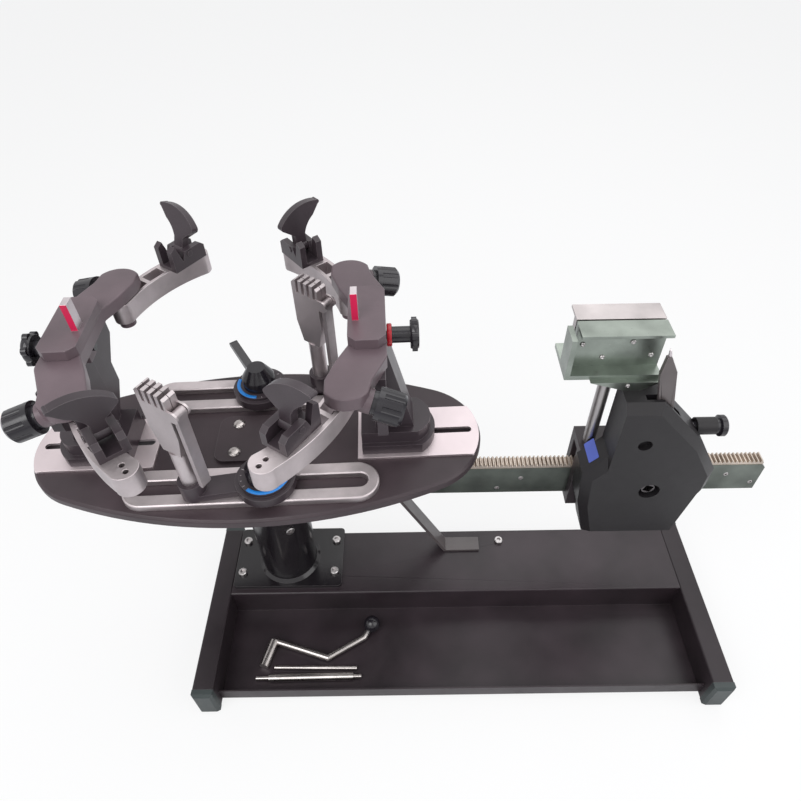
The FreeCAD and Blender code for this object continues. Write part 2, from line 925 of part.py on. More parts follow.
def make_table():
    slots = []
    near = "slot_inner + slot_width / 2"
    far = "table_length / 2 - slot_end - slot_width / 2"
    slots.append(oblong(near, far, "0", "slot_width / 2"))
    slots.append(oblong(f"-({far})", f"-({near})", "0", "slot_width / 2"))
    disc = plate("turntable_plate", "XY", oval(), "table_thick")
    rim = size("table_end_radius") * 0.2

    def on_rim(edge):
        box = edge.BoundBox
        flat = box.ZLength < 0.01
        return flat and edge.Length > rim and not isinstance(edge.Curve, Part.Line)

    dress(disc, "Chamfer", "table_bevel", on_rim)
    pocket(disc, drawing(disc, "XY", slots))
    boss = drawing(disc, "XY", (), [("0", "0", "boss_radius")])
    pad(disc, boss, "table_bottom - column_top - bearing_height - running_gap", back=True)
    pocket(disc, drawing(disc, "XY", (), [("0", "0", "spindle_radius + spindle_play")]))
    keep(stand(disc, TABLE, "0", "0", "table_bottom"))

    tracks = []
    half = "track_width / 2"
    reach = f"({END} + sqrt((table_end_radius - track_inset) ^ 2 - track_width ^ 2 / 4))"
    tip = "table_length / 2 - track_inset"
    for side, sign in (("left", "-1 * "), ("right", "")):
        outline = [
            (f"{sign}track_inner", f"-{half}"),
            (f"{sign}{reach}", f"-{half}"),
            (f"{sign}({tip})", "0", "bow"),
            (f"{sign}{reach}", half),
            (f"{sign}track_inner", half),
        ]
        ends = (near, far) if not sign else (f"-({far})", f"-({near})")
        strip = plate(f"track_{side}", "XY", outline, "track_thick",
                      cuts=[oblong(ends[0], ends[1], "0", "slot_width / 2")])
        tracks.append(stand(strip, TABLE, "0", "0", TABLE_TOP))
    keep(group("track_plates", tracks))

    corners = rectangle("-hub_length / 2", "hub_length / 2", "-hub_width / 2", "hub_width / 2")
    hub = plate("hub_plate", "XY", corners, "hub_thick")
    dress(hub, "Fillet", "hub_corner", runs_along("Z"))
    keep(stand(hub, TABLE, "0", "0", TABLE_TOP))
    screws = []
    for x in ("hub_screw_x", "-hub_screw_x"):
        for y in ("hub_screw_y", "-hub_screw_y"):
            screws.append(dome_screw(f"hub_screw_{len(screws)}", TABLE, x, y, f"{TABLE_TOP} + hub_thick"))
    keep(group("hub_screws", screws))

    for side, sign in (("front", "-"), ("rear", "")):
        middle = f"{sign}bar_offset"
        ends = "glide_length / 2 - glide_width / 2"
        slot_ends = "glide_length / 2 - glide_slot_end - glide_slot / 2"
        outline = oblong(f"-({ends})", ends, "0", "glide_width / 2")
        slot = oblong(f"-({slot_ends})", slot_ends, "0", "glide_slot / 2")
        bar = plate(f"{side}_glide_bar", "XY", outline, "glide_thick", cuts=[slot])
        dress(bar, "Chamfer", "glide_bevel", lies_at("Z", "glide_thick"))
        keep(stand(bar, TABLE, "0", middle, TABLE_TOP))


# Towers: +X points outward from the middle of the machine
def tower_frame(side):
    if side == "right":
        return TABLE.multiply(Placement(at("right_reach", "0", "0"), Rotation()))
    return TABLE.multiply(Placement(at("-left_reach", "0", "0"), Rotation(UP, 180)))


def make_tower(side):
    frame = tower_frame(side)
    half = "foot_width / 2"
    foot = new_body(f"{side}_tower_base")
    outline = [
        ("foot_inner", f"-{half}"),
        (f"foot_outer - {half} / 2", f"-{half}"),
        ("foot_outer", "0", "bow"),
        (f"foot_outer - {half} / 2", half),
        ("foot_inner", half),
    ]
    pad(foot, drawing(foot, "XY", [outline]), "foot_step")
    step = [
        ("foot_inner", f"foot_ledge - {half}"),
        (f"foot_outer - foot_ledge - {half} / 2", f"foot_ledge - {half}"),
        ("foot_outer - foot_ledge", "0", "bow"),
        (f"foot_outer - foot_ledge - {half} / 2", f"{half} - foot_ledge"),
        ("foot_inner", f"{half} - foot_ledge"),
    ]
    pad(foot, drawing(foot, "XY", [step], lift="foot_step"), "foot_height - foot_step")
    top = f"({YOKE_UNDER} - ({TRACK_TOP}) - slide_gap)"
    post = [
        ("post_foot_inner", "foot_height - 1"),
        ("post_foot_outer", "foot_height - 1"),
        ("post_top_outer", f"{top} - 12"),
        ("post_top_outer", top),
        ("post_top_inner", top),
        ("post_top_inner", f"{top} - 24"),
    ]
    pad(foot, drawing(foot, "XZ", [post]), "post_width", both=True)
    level = f"({TRACK_TOP}) - slide_gap"
    flank = [
        (f"{half} - foot_ledge", "foot_height - 1"),
        ("fin_half", f"foot_height - 1 + fin_half - {half} + foot_ledge"),
        ("fin_half", f"fin_waist_z - {level}"),
        ("fin_flare", f"fin_flare_z - {level}"),
        ("fin_flare", f"fin_close_z - {level}"),
        ("fin_top_half", top),
    ]
    fin = flank + [(f"-({q})", z) for q, z in reversed(flank)]
    pad(foot, drawing(foot, "YZ", [fin], lift="post_top_inner"), "fin_thick")
    bore = [("0", f"support_screw_z - {level}", "support_screw + screw_play")]
    pocket(foot, drawing(foot, "YZ", (), bore))
    bolts = [("bolt_one", "0", "bolt_radius"), ("bolt_two", "0", "bolt_radius")]
    grip = "track_thick + table_thick + slide_gap + running_gap"
    pad(foot, drawing(foot, "XY", (), bolts), f"{grip} + nut_height", back=True)
    nuts = [("bolt_one", "0", "nut_radius"), ("bolt_two", "0", "nut_radius")]
    under = f"-({grip})"
    pad(foot, drawing(foot, "XY", (), nuts, under), "nut_height", back=True)
    keep(stand(foot, frame, "0", "0", f"{TRACK_TOP} + slide_gap"))
    make_yoke(side, frame)
    make_support(side, frame)
    front = -1 if side == "right" else 1
    make_arm(side, "front", frame, front)
    make_arm(side, "rear", frame, -front)


def knob_axis(frame, sign):
    """Frame of an arm knob: its Z runs outward along the knob's screw."""
    tilt = math.radians(size("arm_knob_tilt"))
    yaw = math.radians(size("arm_knob_yaw"))
    way = Vector(math.cos(tilt) * math.cos(yaw), sign * math.cos(tilt) * math.sin(yaw), -math.sin(tilt))
    spot = at("arm_knob_x", f"{sign} * arm_knob_y", "arm_knob_z")
    return frame.multiply(Placement(spot, Rotation(UP, way)))


def make_yoke(side, frame):
    outline = [("yoke_half", "-yoke_flat"), ("yoke_half", "yoke_flat")]
    back = [
        ("yoke_corner_x", "yoke_corner_y"),
        ("wing_outer", "wing_end"),
        ("(wing_outer + wing_inner) / 2", "wing_crown", "bow"),
        ("wing_inner", "wing_end"),
        ("wing_inner", "wing_root"),
        ("throat_x", "throat_y"),
        ("-yoke_half", "throat_end"),
    ]
    outline += back
    for spot in reversed(back):
        outline.append((spot[0], f"-({spot[1]})", *spot[2:]))
    yoke = plate(f"{side}_yoke_plate", "XY", outline, "yoke_plate")
    window = rectangle("key_middle - key_length / 2 - support_travel - key_play",
                       "key_middle + key_length / 2 + support_travel + key_play",
                       "-key_width / 2 - key_play", "key_width / 2 + key_play")
    pocket(yoke, drawing(yoke, "XY", [window]))
    dress(yoke, "Fillet", "2", lambda edge: lies_at("Z", "yoke_plate")(edge) and abs(edge.CenterOfMass.y) > 20
          and edge.CenterOfMass.x > -40)
    pins = [("-pivot_in", "pivot_out", "pivot_radius"), ("-pivot_in", "-pivot_out", "pivot_radius")]
    depth = "arm_gap + arm_height + arm_gap / 4"
    pad(yoke, drawing(yoke, "XY", (), pins), depth, back=True)
    lugs = [("-pivot_in", "pivot_out", "lug_radius"), ("-pivot_in", "-pivot_out", "lug_radius")]
    pad(yoke, drawing(yoke, "XY", (), lugs, f"-({depth})"), "lug_height", back=True)
    stand(yoke, frame, "0", "0", YOKE_UNDER)
    bosses = [yoke]
    holes = []
    for sign in (-1, 1):
        inward = knob_axis(frame, sign).multiply(Placement(at("0", "0", "-arm_boss_length"), Rotation()))
        boss = tube(f"{side}_boss_{sign + 1}", "arm_boss", "arm_boss_length", ("0", "0", "0"))
        boss.Placement = inward
        bosses.append(boss)
        hole = tube(f"{side}_hole_{sign + 1}", "arm_screw + screw_play", "2 * arm_boss_length",
                    ("0", "0", "0"))
        hole.Placement = inward.multiply(Placement(at("0", "0", "-arm_boss_length / 2"), Rotation()))
        holes.append(hole)
    keep(less(f"{side}_yoke", joined(f"{side}_yoke_sum", bosses), holes))


def make_support(side, frame):
    """Sliding centre block with its upright rest, driven by the knob behind the tower."""
    outline = [
        ("-yoke_half + support_round", "-support_half_length"),
        ("yoke_half - support_round", "-support_half_length"),
        ("yoke_half", "support_round - support_half_length"),
        ("yoke_half", "support_half_length - support_round"),
        ("yoke_half - support_round", "support_half_length"),
        ("-yoke_half + support_round", "support_half_length"),
        ("-yoke_half", "support_half_length - support_round"),
        ("-yoke_half", "support_round - support_half_length"),
    ]
    slider = plate(f"{side}_centre_support", "XY", outline, "support_height")
    key = rectangle("key_middle - key_length / 2", "key_middle + key_length / 2",
                    "-key_width / 2", "key_width / 2")
    pad(slider, drawing(slider, "XY", [key]), "key_drop", back=True)
    level = "support_screw_z - yoke_top - slide_gap"
    bore = drawing(slider, "YZ", (), [("0", level, "support_screw + screw_play")])
    pocket(slider, bore)
    near = "-1" if side == "right" else "1"
    rest = rectangle("-yoke_half + 4", "-yoke_half + 4 + rest_thick",
                     f"{near} * rest_offset - rest_width / 2", f"{near} * rest_offset + rest_width / 2")
    pad(slider, drawing(slider, "XY", [rest], lift="support_height - 1"), "rest_height")
    keep(stand(slider, frame, "0", "0", "yoke_top + slide_gap"))

    profile = [
        ("0", "key_middle - key_length / 2 - support_travel - yoke_half - running_gap"),
        ("support_screw", "key_middle - key_length / 2 - support_travel - yoke_half - running_gap"),
        ("support_screw", "0"),
        ("ring_radius", "0"),
        ("ring_radius", "ring_length"),
        ("shank_radius", "ring_length"),
        ("shank_radius", "ring_length + shank_length"),
        ("disc_radius", "ring_length + shank_length"),
        ("disc_radius + 1.5", "ring_length + shank_length + disc_length / 2", "bow"),
        ("disc_radius", "ring_length + shank_length + disc_length"),
        ("0", "ring_length + shank_length + disc_length"),
    ]
    knob = turned(f"{side}_support_knob", profile)
    lobes = drawing(knob, "XY", (), [("disc_radius", "0", "lobe_radius")], "ring_length + shank_length + 1.5")
    lobe = pad(knob, lobes, "disc_length - 3")
    around(knob, lobe, lobes, "lobe_count")
    outward = Rotation(UP, Vector(1, 0, 0))
    keep(stand(knob, frame, "yoke_half + running_gap", "0", "support_screw_z", outward))


def arm_frame(frame, sign):
    """Frame of a side arm: X runs from its pivot to its tip and Y to the outer side of the racket."""
    angle = 180 - sign * size("arm_angle")
    spot = at("-pivot_in", f"{sign} * pivot_out", f"{YOKE_UNDER} - arm_gap - arm_height")
    return frame.multiply(Placement(spot, Rotation(UP, angle)))


def make_arm(side, end, frame, sign):
    # In the arm's frame the outer side of the bow lies at -Y for the rear arm
    place = arm_frame(frame, sign)
    out = -sign
    low = "-1" if out > 0 else "1"
    bow = f"{out} * arm_bow"
    outline = [
        ("0", "-arm_root"),
        ("arm_length / 2", f"{bow} - arm_half", "bow"),
        ("arm_length", "-arm_tip"),
        ("arm_length + arm_tip", "0", "bow"),
        ("arm_length", "arm_tip"),
        ("arm_length / 2", f"{bow} + arm_half", "bow"),
        ("0", "arm_root"),
        ("-arm_root", "0", "bow"),
    ]
    cuts = []
    for left, right in ((0.15, 0.34), (0.39, 0.58), (0.63, 0.82)):
        spots = []
        for along_arm, edge in ((left, -1), (right, -1), (right, 1), (left, 1)):
            rise = 4 * along_arm * (1 - along_arm)
            spots.append((f"arm_length * {along_arm}",
                          f"{bow} * {rise:.4f} + {edge} * (arm_half - window_wall)"))
        cuts.append(spots)
    holes = [("0", "0", "pivot_radius + pivot_play"), ("arm_length - 3", "0", "tip_hole"),
             ("arm_length + 5", "0", "tip_hole")]
    arm = plate(f"{side}_{end}_arm", "XY", outline, "arm_height", holes, cuts)
    keep(stand(arm, place))

    pin_x = f"clamp_place_{end}"
    clamp = plate(f"{side}_{end}_frame_clamp", "XZ", [
        (f"{pin_x} - clamp_back", "0"),
        (f"{pin_x} + clamp_ahead", "0"),
        (f"{pin_x} + clamp_ahead", "clamp_height - 4"),
        (f"{pin_x} + clamp_ahead - 5", "clamp_height"),
        (f"{pin_x} - 6", "clamp_height"),
        (f"{pin_x} - 10", "clamp_notch"),
        (f"{pin_x} - clamp_back + spike_width", "spike_height"),
        (f"{pin_x} - clamp_back", "spike_height - 4"),
    ], "2 * clamp_half", both=True)
    groove = rectangle(f"{pin_x} - clamp_back - 1", f"{pin_x} + clamp_ahead + 1",
                       "-fork_width / 2", "fork_width / 2")
    pocket(clamp, drawing(clamp, "XY", [groove], lift="fork_floor"), "spike_height", back=True)
    pin_sketch = drawing(clamp, "XZ", (), [(pin_x, "pin_height", "pin_radius")])
    pad(clamp, pin_sketch, "2 * clamp_half + 2", both=True)
    keep(stand(clamp, place, "0", "0", "arm_height"))
    make_lever(side, end, place, out)

    profile = [
        ("0", "-arm_boss_length - 2"),
        ("arm_screw", "-arm_boss_length - 2"),
        ("arm_screw", "running_gap"),
        ("arm_knob_neck", "running_gap"),
        ("arm_knob_neck", "arm_knob_step"),
        ("arm_knob_radius", "arm_knob_step"),
        ("arm_knob_radius", "arm_knob_step + arm_knob_length - 3"),
        ("arm_knob_radius - 3", "arm_knob_step + arm_knob_length"),
        ("0", "arm_knob_step + arm_knob_length"),
    ]
    knob = turned(f"{side}_{end}_arm_knob", profile)
    flutes = drawing(knob, "XY", (), [("arm_knob_radius + flute_radius / 2", "0", "flute_radius")],
                     "arm_knob_step + 5")
    around(knob, pocket(knob, flutes, "arm_knob_length", back=True), flutes, "flute_count")
    knob.Placement = knob_axis(frame, sign)
    keep(knob)


def make_lever(side, end, place, out):
    """Fin-shaped lever that stands across its arm, pointed outward and bellied inward."""
    lever = new_body(f"{side}_{end}_arm_lever")
    neck = "(fork_width / 2 - running_gap)"
    fin = [
        (f"-{neck}", "0"),
        (neck, "0"),
        (neck, "leaf_neck_height"),
        (f"{neck} + leaf_tip * 0.12", "leaf_length * 0.48", "bow"),
        ("leaf_tip * 0.66", "leaf_length * 0.68"),
        ("leaf_tip - 1.5", "leaf_length - 4"),
        ("leaf_tip", "leaf_length - 1", "bow"),
        ("leaf_tip - 3", "leaf_length"),
        ("0", "leaf_length * 0.97", "bow"),
        ("1 - leaf_belly", "leaf_belly_height + 3"),
        ("-leaf_belly", "leaf_belly_height", "bow"),
        ("2 - leaf_belly", "leaf_belly_height - 3"),
        (f"-{neck}", "leaf_neck_height"),
    ]
    fin = [(f"{out} * ({spot[0]})", *spot[1:]) if spot[0] != "0" else spot for spot in fin]
    pad(lever, drawing(lever, "YZ", [fin]), "leaf_thick", both=True)
    pad(lever, drawing(lever, "XZ", (), [("0", "0", "eye_radius")]), f"2 * {neck}", both=True)
    pocket(lever, drawing(lever, "XZ", (), [("0", "0", "pin_radius + pivot_play")]))
    lean = Rotation(Vector(0, 1, 0), -size(f"lean_{side}_{end}"))
    keep(stand(lever, place, f"clamp_place_{end}", "0", "arm_height + pin_height", lean))


# Clamp bases and string clamps
def make_clamp(end):
    x = "front_base_x" if end == "front" else "rear_base_x"
    y = "-bar_offset" if end == "front" else "bar_offset"
    top = f"{TABLE_TOP} + glide_thick + slide_gap"
    base_frame = TABLE.multiply(Placement(at(x, y, top), Rotation(UP, size(f"base_swing_{end}"))))
    body = new_body(f"{end}_clamp_base")
    web = rectangle("0", "base_reach", "-web_half", "web_half")
    pad(body, drawing(body, "XY", [web]), "web_thick")
    pad(body, drawing(body, "XY", (), [("0", "0", "puck_radius")]), "puck_height")
    pad(body, drawing(body, "XY", (), [("0", "0", "dial_outer")]), "puck_height + dial_height")
    pad(body, drawing(body, "XY", (), [("0", "0", "lock_stud")]),
        "puck_height + dial_height + lock_height - 4")
    pad(body, drawing(body, "XY", (), [("base_reach", "0", "socket_radius")]), "socket_height")
    pad(body, drawing(body, "XY", (), [("0", "0", "stem_radius")]), "stem_drop", back=True)
    well = drawing(body, "XY", (), [("base_reach", "0", "barrel_radius + barrel_play")], "socket_floor")
    pocket(body, well, "socket_height", back=True)
    body.Placement = base_frame
    keep(body)

    profile = [
        ("lock_stud + spindle_play", "0"),
        ("lock_radius", "0"),
        ("lock_radius", "lock_height * 0.45"),
        ("lock_top_radius", "lock_height * 0.8"),
        ("lock_top_radius - 3", "lock_height"),
        ("0", "lock_height"),
        ("0", "lock_height - 3"),
        ("lock_stud + spindle_play", "lock_height - 3"),
    ]
    knob = turned(f"{end}_lock_knob", profile)
    lever = [
        ("lock_top_radius / 2", "3"),
        ("lock_radius", "3"),
        ("lock_lever_length", "lock_lever_rise - 4"),
        ("lock_lever_length + 3", "lock_lever_rise", "bow"),
        ("lock_lever_length - 1", "lock_lever_rise + 2"),
        ("lock_radius - 2", "11"),
        ("lock_top_radius / 2", "11"),
    ]
    pad(knob, drawing(knob, "XZ", [lever]), "lock_lever_width", both=True)
    over = at("0", "0", "puck_height + dial_height + running_gap")
    knob.Placement = base_frame.multiply(Placement(over, Rotation(UP, size(f"lock_swing_{end}"))))
    keep(knob)

    bottom = f"{TABLE_TOP} + glide_thick + slide_gap + socket_floor + running_gap"
    turn = size(f"clamp_turn_{end}") - size(f"base_swing_{end}")
    foot = at("base_reach", "0", "socket_floor + running_gap")
    spot = base_frame.multiply(Placement(foot, Rotation(UP, turn)))
    clamp = new_body(f"{end}_string_clamp")
    pad(clamp, drawing(clamp, "XY", (), [("0", "0", "barrel_radius")]), f"barrel_top - ({bottom})")
    head = [
        ("-neck_width / 2", f"barrel_top - ({bottom})"),
        ("neck_width / 2", f"barrel_top - ({bottom})"),
        ("jaw_width / 2", f"jaw_root - ({bottom})"),
        ("jaw_width / 2", f"jaw_top - ({bottom}) - 4"),
        ("jaw_width / 2 - 4", f"jaw_top - ({bottom})"),
        ("4 - jaw_width / 2", f"jaw_top - ({bottom})"),
        ("-jaw_width / 2", f"jaw_top - ({bottom}) - 4"),
        ("-jaw_width / 2", f"jaw_root - ({bottom})"),
    ]
    pad(clamp, drawing(clamp, "XZ", [head]), "2 * jaw_thick", both=True)
    slits = []
    pitch = "(jaw_width + tooth_slit) / tooth_count"
    for order in range(1, 5):
        left = f"-(jaw_width + tooth_slit) / 2 + {order} * {pitch}"
        slits.append(rectangle(left, f"{left} + tooth_slit", f"jaw_top - ({bottom}) - tooth_length",
                               f"jaw_top - ({bottom}) + 2"))
    pocket(clamp, drawing(clamp, "XZ", slits))
    split = rectangle("-string_gap / 2", "string_gap / 2",
                      f"jaw_root + 8 - ({bottom})", f"jaw_top - ({bottom}) + 2")
    pocket(clamp, drawing(clamp, "YZ", [split]))
    hinge = f"jaw_top - 20 - ({bottom})"
    ears = [
        ("jaw_width / 2 - 1", f"{hinge} - 6"),
        ("jaw_width / 2 + 5", f"{hinge} - 6"),
        ("jaw_width / 2 + 11", f"{hinge}", "bow"),
        ("jaw_width / 2 + 5", f"{hinge} + 6"),
        ("jaw_width / 2 - 1", f"{hinge} + 6"),
    ]
    for low, depth in (("handle_width / 2 + running_gap", "2"), ("-handle_width / 2 - running_gap - 2", "2")):
        pad(clamp, drawing(clamp, "XZ", [ears], lift=low), depth)
    pad(clamp, drawing(clamp, "XZ", (), [("jaw_width / 2 + 5", hinge, "2")]), "handle_width + 4", both=True)
    clamp.Placement = spot
    keep(clamp)

    leaf = [
        ("4.6", "0"),
        ("0", "4.6", "bow"),
        ("-4.6", "0"),
        ("-handle_thick / 2", "-9"),
        ("-handle_thick / 2", f"handle_bottom - jaw_top + 20"),
        ("0", "handle_bottom - jaw_top + 17", "bow"),
        ("handle_thick / 2", f"handle_bottom - jaw_top + 20"),
        ("handle_thick / 2", "-9"),
    ]
    handle = new_body(f"{end}_clamp_handle")
    pad(handle, drawing(handle, "XZ", [leaf], [("0", "0", "2 + pivot_play")]), "handle_width", both=True)
    handle.Placement = spot.multiply(Placement(at("jaw_width / 2 + 5", "0", hinge), Rotation()))
    keep(handle)


# Tension head, drawn from its pinion
HEAD = MACHINE.multiply(Placement(at("head_x", "0", "0"), Rotation()))
SHELL = [
    ("shell_foot_left", "head_foot"),
    ("shell_foot_right", "head_foot"),
    ("shell_knee_right", "head_foot + shell_knee_rise"),
    ("shell_right", "head_foot + shell_right_low"),
    ("shell_right", "head_foot + shell_right_high"),
    ("shell_shoulder", "head_top - shell_shoulder_drop"),
    ("shell_top_right", "head_top"),
    ("shell_top_left", "head_top"),
    ("shell_top_left", "head_foot + shell_neck_rise"),
    ("shell_left", "head_foot + shell_left_high"),
    ("shell_hip", "head_foot + shell_hip_rise"),
]


def make_head():
    cover = plate("head_front_cover", "XZ", SHELL, "cover_depth")
    facets = []
    for number in (2, 3, 4, 5, 6, 8, 9, 10, 0):
        here = SHELL[number]
        there = SHELL[(number + 1) % len(SHELL)]
        facets.append((at(here[0], "0", here[1]) + at(there[0], "0", there[1])) * 0.5)

    def on_front(edge):
        if not lies_at("Y", "-cover_depth")(edge):
            return False
        spot = edge.CenterOfMass
        return any(abs(spot.x - mid.x) + abs(spot.z - mid.z) < 0.1 for mid in facets)

    dress(cover, "Chamfer", "cover_bevel", on_front)
    crank_hole = [("0", PINION_Z, "crank_hole")]
    pocket(cover, drawing(cover, "XZ", (), crank_hole))
    sight = [("sight_hole_x", "head_top - sight_hole_drop", "sight_hole_radius")]
    pocket(cover, drawing(cover, "XZ", (), sight, "cover_depth + 1"), "7")
    bay = rectangle("bay_left", "bay_right", "brake_z - 12", "head_top + 2")
    pocket(cover, drawing(cover, "XZ", [bay], lift="-1"), "brake_thick + 3", back=True)
    shaft = drawing(cover, "XZ", (), [("brake_x", "brake_z", "4")])
    pad(cover, shaft, "brake_thick + 4")
    keep(stand(cover, HEAD, "0", "head_front + cover_depth", "0"))

    wall = "(bar_thick / 2 + carriage_play + carriage_wall)"
    depth = f"-(head_front + cover_depth) - {wall}"
    rear = plate("head_rear_shell", "XZ", SHELL, depth)
    pocket(rear, drawing(rear, "XZ", (), [("0", PINION_Z, "crank_hole")]))
    stand(rear, HEAD, "0", f"-{wall}", "0")
    boss = tube("adjuster_boss", "9", "20", ("35", "adjuster_y", "adjuster_z"), (1, 0, 0))
    boss.Placement = HEAD.multiply(boss.Placement)
    core = tube("adjuster_bore", "adjuster_stem + pivot_play", "60", ("0", "adjuster_y", "adjuster_z"),
                (1, 0, 0))
    core.Placement = HEAD.multiply(core.Placement)
    keep(less("head_rear_cover", joined("rear_cover_sum", [rear, boss]), [core]))

    inner = "(bar_thick / 2 + carriage_play)"
    section = rectangle(f"-{wall}", wall, "bar_bottom - carriage_play - carriage_wall", "carriage_top")
    hollow = rectangle(f"-{inner}", inner, "bar_bottom - carriage_play", "carriage_top - carriage_wall")
    box = plate("carriage", "YZ", section, "carriage_left + carriage_right", cuts=[hollow])
    bearing = [("carriage_left", PINION_Z, "pinion_shaft + pivot_play")]
    pocket(box, drawing(box, "XZ", (), bearing), wall, back=True)
    keep(stand(box, HEAD, "-carriage_left", "0", "0"))

    make_pinion()
    make_gripper()
    make_head_controls()


def make_pinion():
    """Pinion that runs on the rack, one piece with its shaft and its square socket."""
    reach = "(tooth_module * pinion_teeth / 2)"
    shaft_end = "-head_front - 4"
    profile = [
        ("0", "-rack_thick / 2"),
        (f"{reach} - 1.27 * tooth_module", "-rack_thick / 2"),
        (f"{reach} - 1.27 * tooth_module", "rack_thick / 2"),
        ("pinion_shaft", "rack_thick / 2"),
        ("pinion_shaft", shaft_end),
        ("0", shaft_end),
    ]
    gear = turned("drive_pinion", profile)
    tooth = [
        ("-1.1", f"-({reach} - 1.4 * tooth_module)"),
        ("-0.35", f"-({reach} + 0.93 * tooth_module)"),
        ("0.35", f"-({reach} + 0.93 * tooth_module)"),
        ("1.1", f"-({reach} - 1.4 * tooth_module)"),
    ]
    sketch = drawing(gear, "XY", [tooth], lift="-rack_thick / 2")
    around(gear, pad(gear, sketch, "rack_thick"), sketch, "pinion_teeth")
    square = rectangle("-crank_square / 2", "crank_square / 2", "-crank_square / 2", "crank_square / 2")
    pocket(gear, drawing(gear, "XY", [square], lift=f"{shaft_end} + 1"), "15")
    roll = math.degrees((size("head_x") - size("rack_start")) / size(reach))
    ahead = Rotation(Vector(1, 0, 0), 90)
    spin = Rotation(Vector(0, 1, 0), roll)
    keep(stand(gear, HEAD, "0", "0", PINION_Z, spin.multiply(ahead)))


def make_gripper():
    """Two flanged jaw plates on a bent bracket; the rear one slides on two pins."""
    left = "gripper_left"
    right = "gripper_right"
    top = "gripper_floor + gripper_height"
    jaw = "jaw_slot / 2 + jaw_plate"
    floor = block("gripper_deck", "gripper_right - gripper_left", "2 * gripper_half", "gripper_sheet",
                  (left, "-gripper_half", "gripper_floor"))
    foot = plate("gripper_foot", "XZ", [
        ("shell_top_left", "head_top"),
        ("shell_top_left + 18", "head_top"),
        (right, "gripper_floor"),
        (f"{right} - 66", "gripper_floor"),
    ], "10")
    foot.Placement = Placement(at("0", "-19", "0"), Rotation())
    fixed = block("gripper_fixed", "gripper_right - gripper_left - 8", "jaw_plate",
                  "gripper_height - gripper_sheet",
                  (f"{left} + 8", f"-({jaw})", "gripper_floor + gripper_sheet"))
    strip = block("gripper_strip", "gripper_right - gripper_left - 8", f"gripper_half - ({jaw})", "3",
                  (f"{left} + 8", "-gripper_half", f"{top} - 3"))
    end = block("gripper_end", "gripper_sheet", "gripper_half - jaw_slot / 2", "gripper_height - 10",
                (left, "-gripper_half", "gripper_floor + gripper_sheet"))
    pins = []
    for order, x in enumerate((f"{left} + 24", f"{right} - 16")):
        pins.append(tube(f"gripper_pin_{order}", "gripper_pin", "gripper_half + 4",
                         (x, "-4", "gripper_floor + 26"), (0, 1, 0)))
    whole = joined("gripper", [floor, foot, fixed, strip, end, *pins])
    whole.Placement = HEAD
    keep(whole)

    plate_two = block("jaw_block", "gripper_right - gripper_left - 8", "jaw_plate",
                      "gripper_height - gripper_sheet - slide_gap",
                      (f"{left} + 8", "jaw_slot / 2", "gripper_floor + gripper_sheet + slide_gap"))
    strip_two = block("jaw_strip", "gripper_right - gripper_left - 8", f"gripper_half - ({jaw})", "3",
                      (f"{left} + 8", jaw, f"{top} - 3"))
    bores = []
    for order, x in enumerate((f"{left} + 24", f"{right} - 16")):
        bores.append(tube(f"jaw_bore_{order}", "gripper_pin + pivot_play", "gripper_half",
                          (x, "0", "gripper_floor + 26"), (0, 1, 0)))
    moving = less("gripper_jaw", joined("jaw_sum", [plate_two, strip_two]), bores)
    moving.Placement = HEAD
    keep(moving)


def make_head_controls():
    post = tube("spring_tube", "spring_tube_radius", "gripper_floor - carriage_top",
                ("spring_tube_x", "spring_tube_y", "carriage_top"))
    post.Placement = HEAD.multiply(post.Placement)
    keep(post)

    blade = plate("brake_lever", "XZ", [
        ("-brake_width / 2", "0"),
        ("0", "-brake_width / 2", "bow"),
        ("brake_width / 2", "0"),
        ("brake_width / 2", "brake_length * 0.8"),
        ("2", "brake_length"),
        ("-2", "brake_length"),
        ("-brake_width / 2", "brake_length * 0.8"),
    ], "brake_thick", [("0", "0", "4 + pivot_play")], both=True)
    lean = Rotation(Vector(0, 1, 0), -size("brake_tilt"))
    keep(stand(blade, HEAD, "brake_x", "brake_y", "brake_z", lean))

    profile = [
        ("0", "-30"),
        ("adjuster_stem", "-30"),
        ("adjuster_stem", "running_gap"),
        ("8", "running_gap"),
        ("8", "3"),
        ("adjuster_radius", "4"),
        ("adjuster_radius", "9"),
        ("adjuster_radius - 1", "10"),
        ("0", "10"),
    ]
    outward = Rotation(UP, Vector(1, 0, 0))
    keep(stand(turned("tension_knob", profile), HEAD, "55", "adjuster_y", "adjuster_z", outward))


# Loose tools lying in the tray
def bar_between(name, radius, start, end):
    """A round bar from one spot to another."""
    first = at(*start)
    way = at(*end) - first
    part = doc.addObject("Part::Cylinder", name)
    bind(part, Radius=radius)
    part.Height = way.Length
    part.Placement = Placement(first, Rotation(UP, way))
    return part


